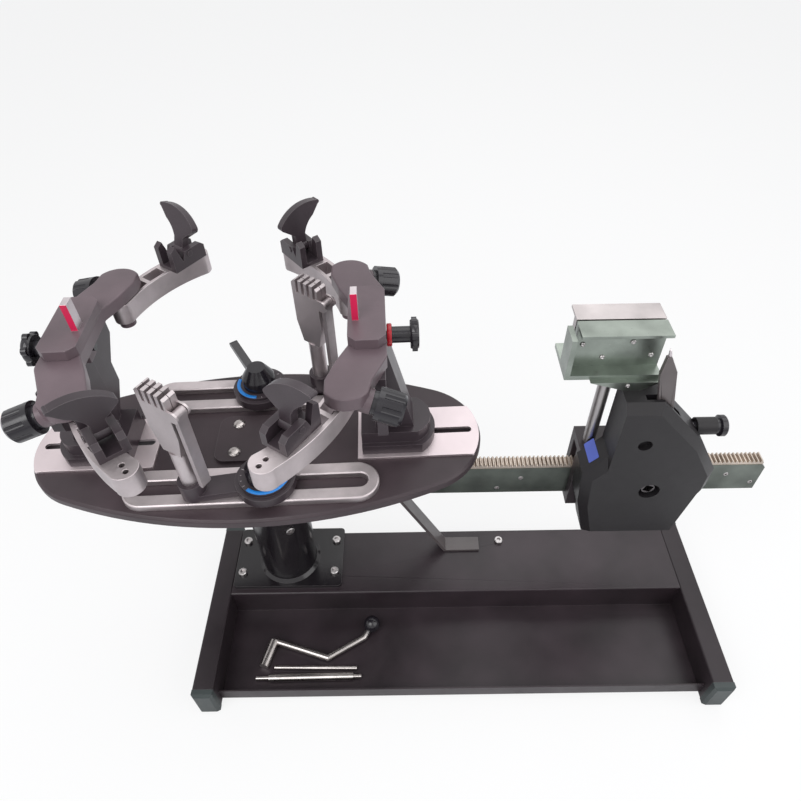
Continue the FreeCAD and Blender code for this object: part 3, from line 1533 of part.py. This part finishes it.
def make_tools():
    level = "tray_floor + crank_socket + rest_gap"
    ball_z = "tray_floor + crank_ball + rest_gap"
    spots = []
    for corner in ("hub", "eye", "elbow", "wrist"):
        spots.append((f"crank_{corner}_x", f"crank_{corner}_y", level))
    spots.append(("crank_end_x", "crank_end_y", ball_z))
    pieces = [bar_between("crank_hub", "crank_socket", spots[0], spots[1])]
    for order in range(1, 4):
        pieces.append(bar_between(f"crank_bar_{order}", "crank_bar", spots[order], spots[order + 1]))
    for order in (2, 3):
        pieces.append(ball(f"crank_bend_{order}", "crank_bar", spots[order]))
    pieces.append(ball("crank_ball_end", "crank_ball", spots[4]))
    crank = joined("crank", pieces)
    crank.Placement = MACHINE
    keep(crank)
    level = "tray_floor + thin_rod + rest_gap"
    thin = bar_between("thin_rod", "thin_rod", ("thin_start_x", "thin_start_y", level),
                       ("thin_end_x", "thin_end_y", level))
    thin.Placement = MACHINE.multiply(thin.Placement)
    keep(thin)
    level = "tray_floor + sleeve_rod + rest_gap"
    core = bar_between("sleeve_core", "thin_rod", ("sleeve_start_x", "sleeve_start_y", level),
                       ("sleeve_end_x", "sleeve_end_y", level))
    sleeve = bar_between("sleeve_sleeve", "sleeve_rod",
                         ("sleeve_start_x + sleeve_left", "sleeve_start_y", level),
                         ("sleeve_end_x - sleeve_right", "sleeve_end_y", level))
    rod = joined("sleeve_rod", [core, sleeve])
    rod.Placement = MACHINE
    keep(rod)


make_base()
make_deck_tray()
make_column()
make_frame_screws()
make_rail()
make_brace()
make_bearing()
make_table()
make_tower("left")
make_tower("right")
make_clamp("front")
make_clamp("rear")
make_head()
make_tools()
doc.recompute()

for item in doc.Objects:
    if "Invalid" in item.State or "Error" in item.State:
        raise RuntimeError(f"{item.Label} failed: {item.State}")
os.makedirs("parts", exist_ok=True)
for item in NODES:
    shape = item.Shape
    if shape.isNull() or not shape.isValid() or not shape.Solids:
        raise RuntimeError(f"{item.Label} has no sound shape")
    shape.exportStep(f"parts/{item.Label}.step")
print(len(NODES), "parts written")
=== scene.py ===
import bpy, bmesh, math
from mathutils import Matrix, Vector


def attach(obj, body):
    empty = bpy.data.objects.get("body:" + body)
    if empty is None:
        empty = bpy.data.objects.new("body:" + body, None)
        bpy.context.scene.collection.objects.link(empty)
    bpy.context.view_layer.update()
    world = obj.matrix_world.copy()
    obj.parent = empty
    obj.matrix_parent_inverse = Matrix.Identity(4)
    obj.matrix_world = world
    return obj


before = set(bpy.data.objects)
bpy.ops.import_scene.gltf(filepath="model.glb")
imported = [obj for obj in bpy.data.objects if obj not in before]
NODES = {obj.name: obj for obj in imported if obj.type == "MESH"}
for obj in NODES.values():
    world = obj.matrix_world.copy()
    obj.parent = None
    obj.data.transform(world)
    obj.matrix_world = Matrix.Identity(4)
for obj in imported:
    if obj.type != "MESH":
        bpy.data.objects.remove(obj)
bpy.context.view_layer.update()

# Places on the machine in millimetres, as in the source
AXIS = (-162.6, 7.6)
REST_TURN = math.radians(1.9)
LEFT_REACH = 142.5
RIGHT_REACH = 125
KNOB_HEIGHT = 435
RING_REACH = 17.3
MARK_BOTTOM = 464
DIAL_TOP = 318.1
# Each dial's centre, with the angle where its blue arc starts and the angle it covers
DIALS = {"front": ((-144.42, -57.83), -128, 118), "rear": ((-168.79, 73.43), 165, 105)}
TICKS = 13
TICK_GAP = 14
TICK_RADIUS = 23.6
LABEL_CENTRE = (190.6, -18.6, 299.25)
LABEL_NORMAL = (-0.76, 0, 0.65)
LABEL_UP = (0.65, 0, 0.76)
GRIPPER_FACE = -2.5
GRIPPER_SCREWS = ((160, 432), (181, 416), (206, 434), (226, 418))
GRIPPER_FOOT_SCREW = (205, -21.4, 396)
BRAKE_TOP = (229.8, -30.9, 437.5)
BRAKE_LEAN = math.radians(-12)
CRANK_BALL = Vector((-54.5, -73.4, 18.7))
CRANK_BALL_REACH = 13.5

# The camera that the photograph was fitted with: its place from the turntable's axis in millimetres,
# its angles in degrees and its lens in pixels of the photograph's frame
CAMERA_PLACE = (158.3, -455.3, 812.8)
CAMERA_PITCH, CAMERA_ROLL, CAMERA_YAW = 45.32, 1.39, -0.57
CAMERA_FOCUS = 633.7
FRAME_WIDTH = 801
SENSOR_WIDTH = 36

# Lamps: place, size and power in metres and watts, all aimed at the middle of the machine
LAMPS = {
    "key": ((-0.7, -0.9, 1.6), 1.2, 17.0),
    "fill": ((1.2, -0.6, 1.1), 1.4, 9.0),
    "back": ((0.5, 0.8, 2.2), 1.8, 13.0),
}
LAMP_AIM = Vector((0, 0, 0.25))
WORLD_COLOR = (0.93, 0.95, 1.0)
WORLD_STRENGTH = 0.55
WHITE = (1, 1, 1)
FLOOR_COLOR = (0.86, 0.86, 0.86)
FLOOR_GLOW = 0.8
FLOOR_REACH = 6
FLOOR_DROP = 0.0002

# Rounded edges in metres and the angle from which an edge is rounded
EDGE = 0.0005
EDGE_ANGLE = math.radians(32)
WELD_REACH = 0.00002
# Width and share of the lighter edge colour, which stands for rubbed paint and a painted edge highlight
WEAR_AND_HIGHLIGHT_RADIUS = 0.0009
WEAR_AND_HIGHLIGHT_SHARE = 0.3


def spot(x, y, z):
    return Matrix.Translation((x, y, z))


def spin(angle, axis="Z"):
    return Matrix.Rotation(angle, 4, axis)


MM = Matrix.Scale(0.001, 4)
TABLE = spot(*AXIS, 0) @ spin(REST_TURN)
TOWER = {"right": TABLE @ spot(RIGHT_REACH, 0, 0), "left": TABLE @ spot(-LEFT_REACH, 0, 0) @ spin(math.pi)}


# Materials
def material(name, color, rough, metal=0.0, spec=0.5):
    mat = bpy.data.materials.new(name)
    mat.use_nodes = True
    tree = mat.node_tree
    shader = tree.nodes["Principled BSDF"]
    shader.inputs["Base Color"].default_value = (*color, 1)
    shader.inputs["Roughness"].default_value = rough
    shader.inputs["Metallic"].default_value = metal
    shader.inputs["Specular IOR Level"].default_value = spec
    return mat, tree, shader


def node(tree, kind, **values):
    """Makes a shader node and sets its inputs, or its own settings, by name."""
    made = tree.nodes.new("ShaderNode" + kind)
    for key, value in values.items():
        if key in made.inputs:
            made.inputs[key].default_value = value
        else:
            setattr(made, key, value)
    return made


def noise(tree, scale, detail, stretch=(1, 1, 1)):
    """Noise in the piece's own coordinates; a stretch above 1 makes it finer along that axis."""
    coordinates = node(tree, "TexCoord")
    mapping = node(tree, "Mapping", Scale=stretch)
    made = node(tree, "TexNoise", Scale=scale, Detail=detail)
    tree.links.new(coordinates.outputs["Object"], mapping.inputs["Vector"])
    tree.links.new(mapping.outputs["Vector"], made.inputs["Vector"])
    return made.outputs["Fac"]


def clouds(tree, color, vary, scale, detail):
    """A tone that drifts between a darker and a lighter shade of the colour."""
    made = node(tree, "ValToRGB")
    dark, light = made.color_ramp.elements
    dark.position = 0.3
    dark.color = (*[part * (1 - vary) for part in color], 1)
    light.position = 0.7
    light.color = (*[min(1.0, part * (1 + vary)) for part in color], 1)
    tree.links.new(noise(tree, scale, detail), made.inputs["Fac"])
    return made.outputs["Color"]


def gloss(tree, shader, source, low, high):
    """Lets the roughness drift between two values."""
    made = node(tree, "MapRange")
    made.inputs["To Min"].default_value = low
    made.inputs["To Max"].default_value = high
    tree.links.new(source, made.inputs["Value"])
    tree.links.new(made.outputs["Result"], shader.inputs["Roughness"])


def relief(tree, shader, source, strength, distance):
    made = node(tree, "Bump", Strength=strength, Distance=distance)
    tree.links.new(source, made.inputs["Height"])
    tree.links.new(made.outputs["Normal"], shader.inputs["Normal"])


def edge_wear_and_highlight(tree, shader, tone, worn_and_highlight):
    """Lighter paint on every edge, partly rubbed paint and partly a painted edge highlight, found by
    comparing the bevelled normal with the plain one.
    """
    bevel = node(tree, "Bevel", samples=4)
    bevel.inputs["Radius"].default_value = WEAR_AND_HIGHLIGHT_RADIUS
    geometry = node(tree, "NewGeometry")
    dot = node(tree, "VectorMath", operation="DOT_PRODUCT")
    tree.links.new(bevel.outputs["Normal"], dot.inputs[0])
    tree.links.new(geometry.outputs["Normal"], dot.inputs[1])
    edge = node(tree, "MapRange")
    edge.inputs["From Min"].default_value = 1.0
    edge.inputs["From Max"].default_value = 0.8
    edge.inputs["To Max"].default_value = WEAR_AND_HIGHLIGHT_SHARE
    tree.links.new(dot.outputs["Value"], edge.inputs["Value"])
    mix = node(tree, "Mix", data_type="RGBA")
    tree.links.new(edge.outputs["Result"], mix.inputs["Factor"])
    tree.links.new(tone, mix.inputs["A"])
    mix.inputs["B"].default_value = (*worn_and_highlight, 1)
    tree.links.new(mix.outputs["Result"], shader.inputs["Base Color"])


def paint(name, color, rough=0.42, grain=900.0, bump=0.25, vary=0.25, worn_and_highlight=(0.32, 0.28, 0.29), spec=0.5):
    """Powder coat: fine orange peel, cloudy tone and lighter edges that are partly rubbed paint and partly a
    painted highlight.
    """
    mat, tree, shader = material(name, color, rough, spec=spec)
    edge_wear_and_highlight(tree, shader, clouds(tree, color, vary, 14.0, 4.0), worn_and_highlight)
    gloss(tree, shader, noise(tree, 60.0, 3.0), rough - 0.06, rough + 0.08)
    relief(tree, shader, noise(tree, grain, 2.0), bump, 0.0002)
    return mat


def metal(name, color, rough=0.32, brush=None, vary=0.1, bump=0.12, grain=600.0):
    """Bare metal, brushed along one axis or cast with a fine grain."""
    mat, tree, shader = material(name, color, rough, metal=1.0)
    tree.links.new(clouds(tree, color, vary, 22.0, 4.0), shader.inputs["Base Color"])
    lines = noise(tree, grain, 2.0, brush) if brush else noise(tree, grain, 3.0)
    gloss(tree, shader, lines, rough - 0.08, rough + 0.12)
    relief(tree, shader, lines, bump, 0.0001)
    return mat


def plastic(name, color, rough=0.35, vary=0.12, bump=0.1, grain=700.0, spec=0.5):
    """Moulded plastic with a fine grain and hardly any change of tone."""
    mat, tree, shader = material(name, color, rough, spec=spec)
    tree.links.new(clouds(tree, color, vary, 30.0, 3.0), shader.inputs["Base Color"])
    gloss(tree, shader, noise(tree, 90.0, 3.0), rough - 0.05, rough + 0.07)
    relief(tree, shader, noise(tree, grain, 2.0), bump, 0.00015)
    return mat


BLACK = paint("black_coat", (0.022, 0.016, 0.019), rough=0.4, spec=0.35)
DECK_BLACK = paint("deck_coat", (0.026, 0.018, 0.022), rough=0.36, spec=0.4, vary=0.4, worn_and_highlight=(0.2, 0.18, 0.18))
POST_BLACK = paint("post_coat", (0.012, 0.01, 0.012), rough=0.16, bump=0.12, spec=0.5)
TABLE_BLACK = paint("table_coat", (0.045, 0.031, 0.036), rough=0.42, spec=0.35)
CAST_BLACK = paint("cast_coat", (0.042, 0.031, 0.037), rough=0.34, grain=700.0, bump=0.35, spec=0.4)
YOKE = paint("yoke_coat", (0.115, 0.083, 0.094), rough=0.36, grain=800.0, bump=0.4, spec=0.4)
HOUSING = plastic("housing_plastic", (0.011, 0.0095, 0.011), rough=0.42, bump=0.5, grain=1500.0, spec=0.35)
KNOB = plastic("knob_plastic", (0.014, 0.012, 0.016), rough=0.2)
CAP = plastic("cap_plastic", (0.03, 0.04, 0.04), rough=0.45, bump=0.3)
RED = plastic("red_plastic", (0.62, 0.012, 0.075), rough=0.35)
RED_RING = plastic("red_ring", (0.5, 0.008, 0.02), rough=0.28)
BLUE = plastic("blue_plastic", (0.012, 0.22, 0.66), rough=0.3)
LABEL = plastic("blue_label", (0.07, 0.11, 0.46), rough=0.3)
ALU = metal("aluminium", (0.56, 0.51, 0.52), rough=0.42, vary=0.1, bump=0.2, grain=420.0)
CAST_ALU = metal("cast_aluminium", (0.5, 0.45, 0.46), rough=0.46, vary=0.22, bump=0.45, grain=340.0)
TRACK = metal("track_aluminium", (0.66, 0.58, 0.6), rough=0.5, brush=(1, 40, 1), vary=0.07)
STEEL = metal("steel", (0.42, 0.4, 0.4), rough=0.3, vary=0.18)
BRIGHT = metal("bright_steel", (0.42, 0.39, 0.38), rough=0.28, vary=0.25, bump=0.3)
RAIL = metal("rail_steel", (0.13, 0.145, 0.13), rough=0.36, brush=(1, 30, 30), vary=0.35)
RACK = metal("rack_steel", (0.46, 0.4, 0.35), rough=0.42, vary=0.25)
PLATE = metal("plate_steel", (0.27, 0.3, 0.27), rough=0.3, vary=0.3, bump=0.2)
JAW = metal("jaw_steel", (0.5, 0.46, 0.46), rough=0.34, brush=(1, 30, 30), vary=0.2)
DARK_STEEL = metal("dark_steel", (0.13, 0.12, 0.125), rough=0.34, vary=0.25)
BRACE = paint("brace_coat", (0.1, 0.085, 0.085), rough=0.3, spec=0.5)
PALE = metal("pale_edge", (0.6, 0.55, 0.57), rough=0.4, vary=0.15)

FINISH = {
    "base_rails": BLACK, "deck_tray": DECK_BLACK, "column": POST_BLACK, "rail_end_caps": CAP,
    "frame_screws": STEEL, "tension_rail": RAIL, "rack": RACK, "rail_brace": BRACE,
    "turntable_bearing": DARK_STEEL, "turntable_plate": TABLE_BLACK, "track_plates": TRACK,
    "hub_plate": TABLE_BLACK, "hub_screws": BRIGHT, "front_glide_bar": CAST_ALU, "rear_glide_bar": CAST_ALU,
    "head_front_cover": HOUSING, "head_rear_cover": HOUSING, "carriage": BLACK, "drive_pinion": DARK_STEEL,
    "gripper": PLATE, "gripper_jaw": JAW, "brake_lever": BRACE, "tension_knob": KNOB, "spring_tube": STEEL,
    "crank": BRIGHT, "thin_rod": BRIGHT, "sleeve_rod": BRIGHT,
}
for side in ("left", "right"):
    FINISH[f"{side}_tower_base"] = CAST_BLACK
    FINISH[f"{side}_yoke"] = YOKE
    FINISH[f"{side}_centre_support"] = YOKE
    FINISH[f"{side}_support_knob"] = KNOB
    for end in ("front", "rear"):
        FINISH[f"{side}_{end}_arm"] = CAST_ALU
        FINISH[f"{side}_{end}_frame_clamp"] = CAST_BLACK
        FINISH[f"{side}_{end}_arm_lever"] = CAST_BLACK
        FINISH[f"{side}_{end}_arm_knob"] = KNOB
for end in ("front", "rear"):
    FINISH[f"{end}_clamp_base"] = CAST_BLACK
    FINISH[f"{end}_lock_knob"] = KNOB
    FINISH[f"{end}_string_clamp"] = ALU
    FINISH[f"{end}_clamp_handle"] = CAST_ALU

# Thin and large pieces whose edges are rounded less or more than the rest
EDGES = {
    "rack": 0.0001, "hub_screws": 0.0002, "frame_screws": 0.0003, "thin_rod": 0.0003, "sleeve_rod": 0.0003,
    "track_plates": 0.0003, "deck_tray": 0.0003, "head_front_cover": 0.0009, "head_rear_cover": 0.0009,
    "turntable_plate": 0.0008,
}


def soften(obj, width):
    """Welds a mesh's doubled points, rounds its edges and shades it smoothly."""
    mesh = obj.data
    if "custom_normal" in mesh.attributes:
        mesh.attributes.remove(mesh.attributes["custom_normal"])
    mesh.polygons.foreach_set("use_smooth", [True] * len(mesh.polygons))
    weld = obj.modifiers.new("weld", "WELD")
    weld.merge_threshold = WELD_REACH
    edge = obj.modifiers.new("bevel", "BEVEL")
    edge.width = width
    edge.segments = 2
    edge.limit_method = "ANGLE"
    edge.angle_limit = EDGE_ANGLE
    edge.harden_normals = True
    edge.use_clamp_overlap = True


for name, obj in NODES.items():
    obj.data.materials.clear()
    obj.data.materials.append(FINISH[name])
    soften(obj, EDGES.get(name, EDGE))


# Tools for the small pieces
def zone(name, mat, test):
    """Gives the faces that pass the test a second material; the test reads centre (mm) and normal."""
    mesh = NODES[name].data
    mesh.materials.append(mat)
    slot = len(mesh.materials) - 1
    for face in mesh.polygons:
        if test(face.center * 1000, face.normal):
            face.material_index = slot


def place(name, bm, body, mat, turn, smooth=True):
    """Makes a piece from a mesh drawn in millimetres and rides it on a body."""
    bmesh.ops.recalc_face_normals(bm, faces=bm.faces)
    mesh = bpy.data.meshes.new(name)
    bm.to_mesh(mesh)
    bm.free()
    mesh.transform(MM @ turn)
    mesh.polygons.foreach_set("use_smooth", [smooth] * len(mesh.polygons))
    mesh.materials.append(mat)
    obj = bpy.data.objects.new(name, mesh)
    bpy.context.scene.collection.objects.link(obj)
    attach(obj, body)


def lathe(profile, steps, start=0.0, sweep=2 * math.pi):
    """Turns (radius, height) points round Z; a part sweep is closed at its ends."""
    bm = bmesh.new()
    whole = abs(sweep - 2 * math.pi) < 1e-6
    rings = []
    for step in range(steps if whole else steps + 1):
        angle = start + sweep * step / steps
        rings.append([bm.verts.new((r * math.cos(angle), r * math.sin(angle), z)) for r, z in profile])
    pairs = list(zip(rings, rings[1:])) + ([(rings[-1], rings[0])] if whole else [])
    count = len(profile)
    for first, second in pairs:
        for i in range(count):
            j = (i + 1) % count
            bm.faces.new((first[i], second[i], second[j], first[j]))
    if not whole:
        bm.faces.new(rings[0])
        bm.faces.new(list(reversed(rings[-1])))
    bmesh.ops.remove_doubles(bm, verts=bm.verts, dist=0.0001)
    return bm


def slab(outline, depth):
    """A flat plate from an outline in XY, raised along Z."""
    bm = bmesh.new()
    low = [bm.verts.new((x, y, 0)) for x, y in outline]
    high = [bm.verts.new((x, y, depth)) for x, y in outline]
    bm.faces.new(list(reversed(low)))
    bm.faces.new(high)
    for i in range(len(outline)):
        j = (i + 1) % len(outline)
        bm.faces.new((low[i], low[j], high[j], high[i]))
    return bm


def on_face(point, normal, up=(0, 0, 1)):
    """Frame that stands on a face: Z along its normal, Y as near to up as it can be."""
    z = Vector(normal).normalized()
    x = Vector(up).cross(z).normalized()
    y = z.cross(x)
    turn = Matrix((x, y, z)).transposed().to_4x4()
    return Matrix.Translation(point) @ turn


def round_corners(width, height, radius, steps=5):
    """Outline of a rectangle with round corners, centred on the origin."""
    points = []
    right, top = width / 2 - radius, height / 2 - radius
    for cx, cy, first in ((right, top, 0), (-right, top, 90), (-right, -top, 180), (right, -top, 270)):
        for step in range(steps + 1):
            angle = math.radians(first + 90 * step / steps)
            points.append((cx + radius * math.cos(angle), cy + radius * math.sin(angle)))
    return points


def dome_screw(name, point, radius=2.6, height=1.5):
    """Pan head with a round socket, standing on a front face of the head."""
    profile = [(0, 0), (radius, 0), (radius, height * 0.35), (radius * 0.86, height * 0.78),
               (radius * 0.6, height), (radius * 0.42, height), (radius * 0.38, height * 0.45),
               (0, height * 0.35)]
    place(name, lathe(profile, 28), "head", STEEL, on_face(point, (0, -1, 0)))


# Small pieces
def mark_tower(side):
    """Red front and pale rest of the centre support's upright, and the red ring behind its knob."""
    front = -0.7
    zone(f"{side}_centre_support", RED, lambda c, n: c.z > MARK_BOTTOM and n.y < front)
    zone(f"{side}_centre_support", PALE, lambda c, n: c.z > MARK_BOTTOM and n.y >= front)
    profile = [(10.05, 0.3), (10.55, 0.3), (10.8, 0.7), (10.8, 4.3), (10.55, 4.7), (10.05, 4.7)]
    turn = TOWER[side] @ spot(RING_REACH, 0, KNOB_HEIGHT) @ spin(math.pi / 2, "Y")
    place(f"{side}_red_ring", lathe(profile, 56), f"{side}_support_knob", RED_RING, turn)


def mark_dial(end):
    """Blue arc on the clamp base's dial, and plain ticks round the rest of it."""
    centre, first, sweep = DIALS[end]
    middle = spot(*centre, DIAL_TOP)
    profile = [(21.2, 0.02), (25.2, 0.02), (25.2, 0.5), (24.9, 0.75), (21.5, 0.75), (21.2, 0.5)]
    arc = lathe(profile, 30, math.radians(first), math.radians(sweep))
    place(f"{end}_dial_arc", arc, f"{end}_base", BLUE, middle)
    free = 360 - sweep - 2 * TICK_GAP
    for step in range(TICKS):
        angle = math.radians(first + sweep + TICK_GAP + step * free / (TICKS - 1))
        length = 2.6 if step % 3 == 0 else 1.6
        tick = slab(round_corners(length, 0.35, 0.1, 2), 0.06)
        turn = middle @ spin(angle) @ spot(TICK_RADIUS, 0, 0)
        place(f"{end}_dial_tick_{step}", tick, f"{end}_base", PALE, turn, smooth=False)


def mark_head():
    """Plain label, the gripper's screws and the pale tip of the brake lever."""
    turn = on_face(LABEL_CENTRE, LABEL_NORMAL, LABEL_UP) @ spin(math.pi / 2)
    place("head_label", slab(round_corners(13, 26, 1.2), 0.25), "head", LABEL, turn, smooth=False)
    for order, (x, z) in enumerate(GRIPPER_SCREWS):
        dome_screw(f"gripper_screw_{order}", (x, GRIPPER_FACE, z))
    dome_screw("gripper_foot_screw", GRIPPER_FOOT_SCREW, 2.2, 1.2)
    profile = [(0, 0), (1.6, 0), (1.6, 5), (1.2, 9), (0.5, 12), (0, 12)]
    place("brake_tip", lathe(profile, 24), "brake", PALE, spot(*BRAKE_TOP) @ spin(BRAKE_LEAN, "Y"))


for side in ("left", "right"):
    mark_tower(side)
for end in ("front", "rear"):
    mark_dial(end)
mark_head()
zone("crank", KNOB, lambda c, n: (c - CRANK_BALL).length < CRANK_BALL_REACH)


# Stage: floor, world, lamps and the camera at the photograph's angle
def make_floor():
    """Pale floor that glows for the camera only, so that it stays white and keeps the shadow."""
    bm = bmesh.new()
    bmesh.ops.create_grid(bm, x_segments=2, y_segments=2, size=FLOOR_REACH)
    mesh = bpy.data.meshes.new("floor")
    bm.to_mesh(mesh)
    bm.free()
    floor = bpy.data.objects.new("floor", mesh)
    bpy.context.scene.collection.objects.link(floor)
    floor.location.z = -FLOOR_DROP
    mat, tree, shader = material("floor", FLOOR_COLOR, 0.9, spec=0.1)
    glow = node(tree, "Emission", Strength=1.0, Color=(*WHITE, 1))
    path = node(tree, "LightPath")
    share = node(tree, "Math", operation="MULTIPLY")
    share.inputs[1].default_value = FLOOR_GLOW
    mix = node(tree, "MixShader")
    tree.links.new(path.outputs["Is Camera Ray"], share.inputs[0])
    tree.links.new(share.outputs[0], mix.inputs["Fac"])
    tree.links.new(shader.outputs[0], mix.inputs[1])
    tree.links.new(glow.outputs[0], mix.inputs[2])
    tree.links.new(mix.outputs[0], tree.nodes["Material Output"].inputs["Surface"])
    mesh.materials.append(mat)


def make_world():
    """Soft light on the object, and white where the camera, a reflection or glass sees past it."""
    world = bpy.data.worlds.new("world")
    bpy.context.scene.world = world
    world.use_nodes = True
    tree = world.node_tree
    tree.nodes.clear()
    out = node(tree, "OutputWorld")
    light = node(tree, "Background", Strength=WORLD_STRENGTH, Color=(*WORLD_COLOR, 1))
    seen = node(tree, "Background", Strength=1.0, Color=(*WHITE, 1))
    path = node(tree, "LightPath")
    direct = node(tree, "Math", operation="MAXIMUM")
    through = node(tree, "Math", operation="MAXIMUM")
    mix = node(tree, "MixShader")
    tree.links.new(path.outputs["Is Camera Ray"], direct.inputs[0])
    tree.links.new(path.outputs["Is Glossy Ray"], direct.inputs[1])
    tree.links.new(direct.outputs[0], through.inputs[0])
    tree.links.new(path.outputs["Is Transmission Ray"], through.inputs[1])
    tree.links.new(through.outputs[0], mix.inputs["Fac"])
    tree.links.new(light.outputs[0], mix.inputs[1])
    tree.links.new(seen.outputs[0], mix.inputs[2])
    tree.links.new(mix.outputs[0], out.inputs["Surface"])


def make_lamps():
    for name, (location, size, power) in LAMPS.items():
        data = bpy.data.lights.new(name, "AREA")
        data.energy = power
        data.size = size
        lamp = bpy.data.objects.new(name, data)
        bpy.context.scene.collection.objects.link(lamp)
        lamp.location = location
        aim = LAMP_AIM - lamp.location
        lamp.rotation_euler = aim.to_track_quat("-Z", "Y").to_euler()


def make_camera():
    pitch, roll, yaw = math.radians(CAMERA_PITCH), math.radians(CAMERA_ROLL), math.radians(CAMERA_YAW)
    forward = Vector((math.sin(yaw) * math.cos(pitch), math.cos(yaw) * math.cos(pitch), -math.sin(pitch)))
    level = Vector((math.cos(yaw), -math.sin(yaw), 0))
    steep = forward.cross(level)
    right = level * math.cos(roll) + steep * math.sin(roll)
    down = steep * math.cos(roll) - level * math.sin(roll)
    data = bpy.data.cameras.new("camera")
    data.sensor_width = SENSOR_WIDTH
    data.lens = SENSOR_WIDTH * CAMERA_FOCUS / FRAME_WIDTH
    data.clip_end = 50
    camera = bpy.data.objects.new("camera", data)
    bpy.context.scene.collection.objects.link(camera)
    turn = Matrix((right, -down, -forward)).transposed().to_4x4()
    x, y, z = CAMERA_PLACE
    camera.matrix_world = spot((AXIS[0] + x) / 1000, (AXIS[1] + y) / 1000, z / 1000) @ turn
    bpy.context.scene.camera = camera


make_floor()
make_world()
make_lamps()
make_camera()
bpy.context.scene.view_settings.view_transform = "Standard"
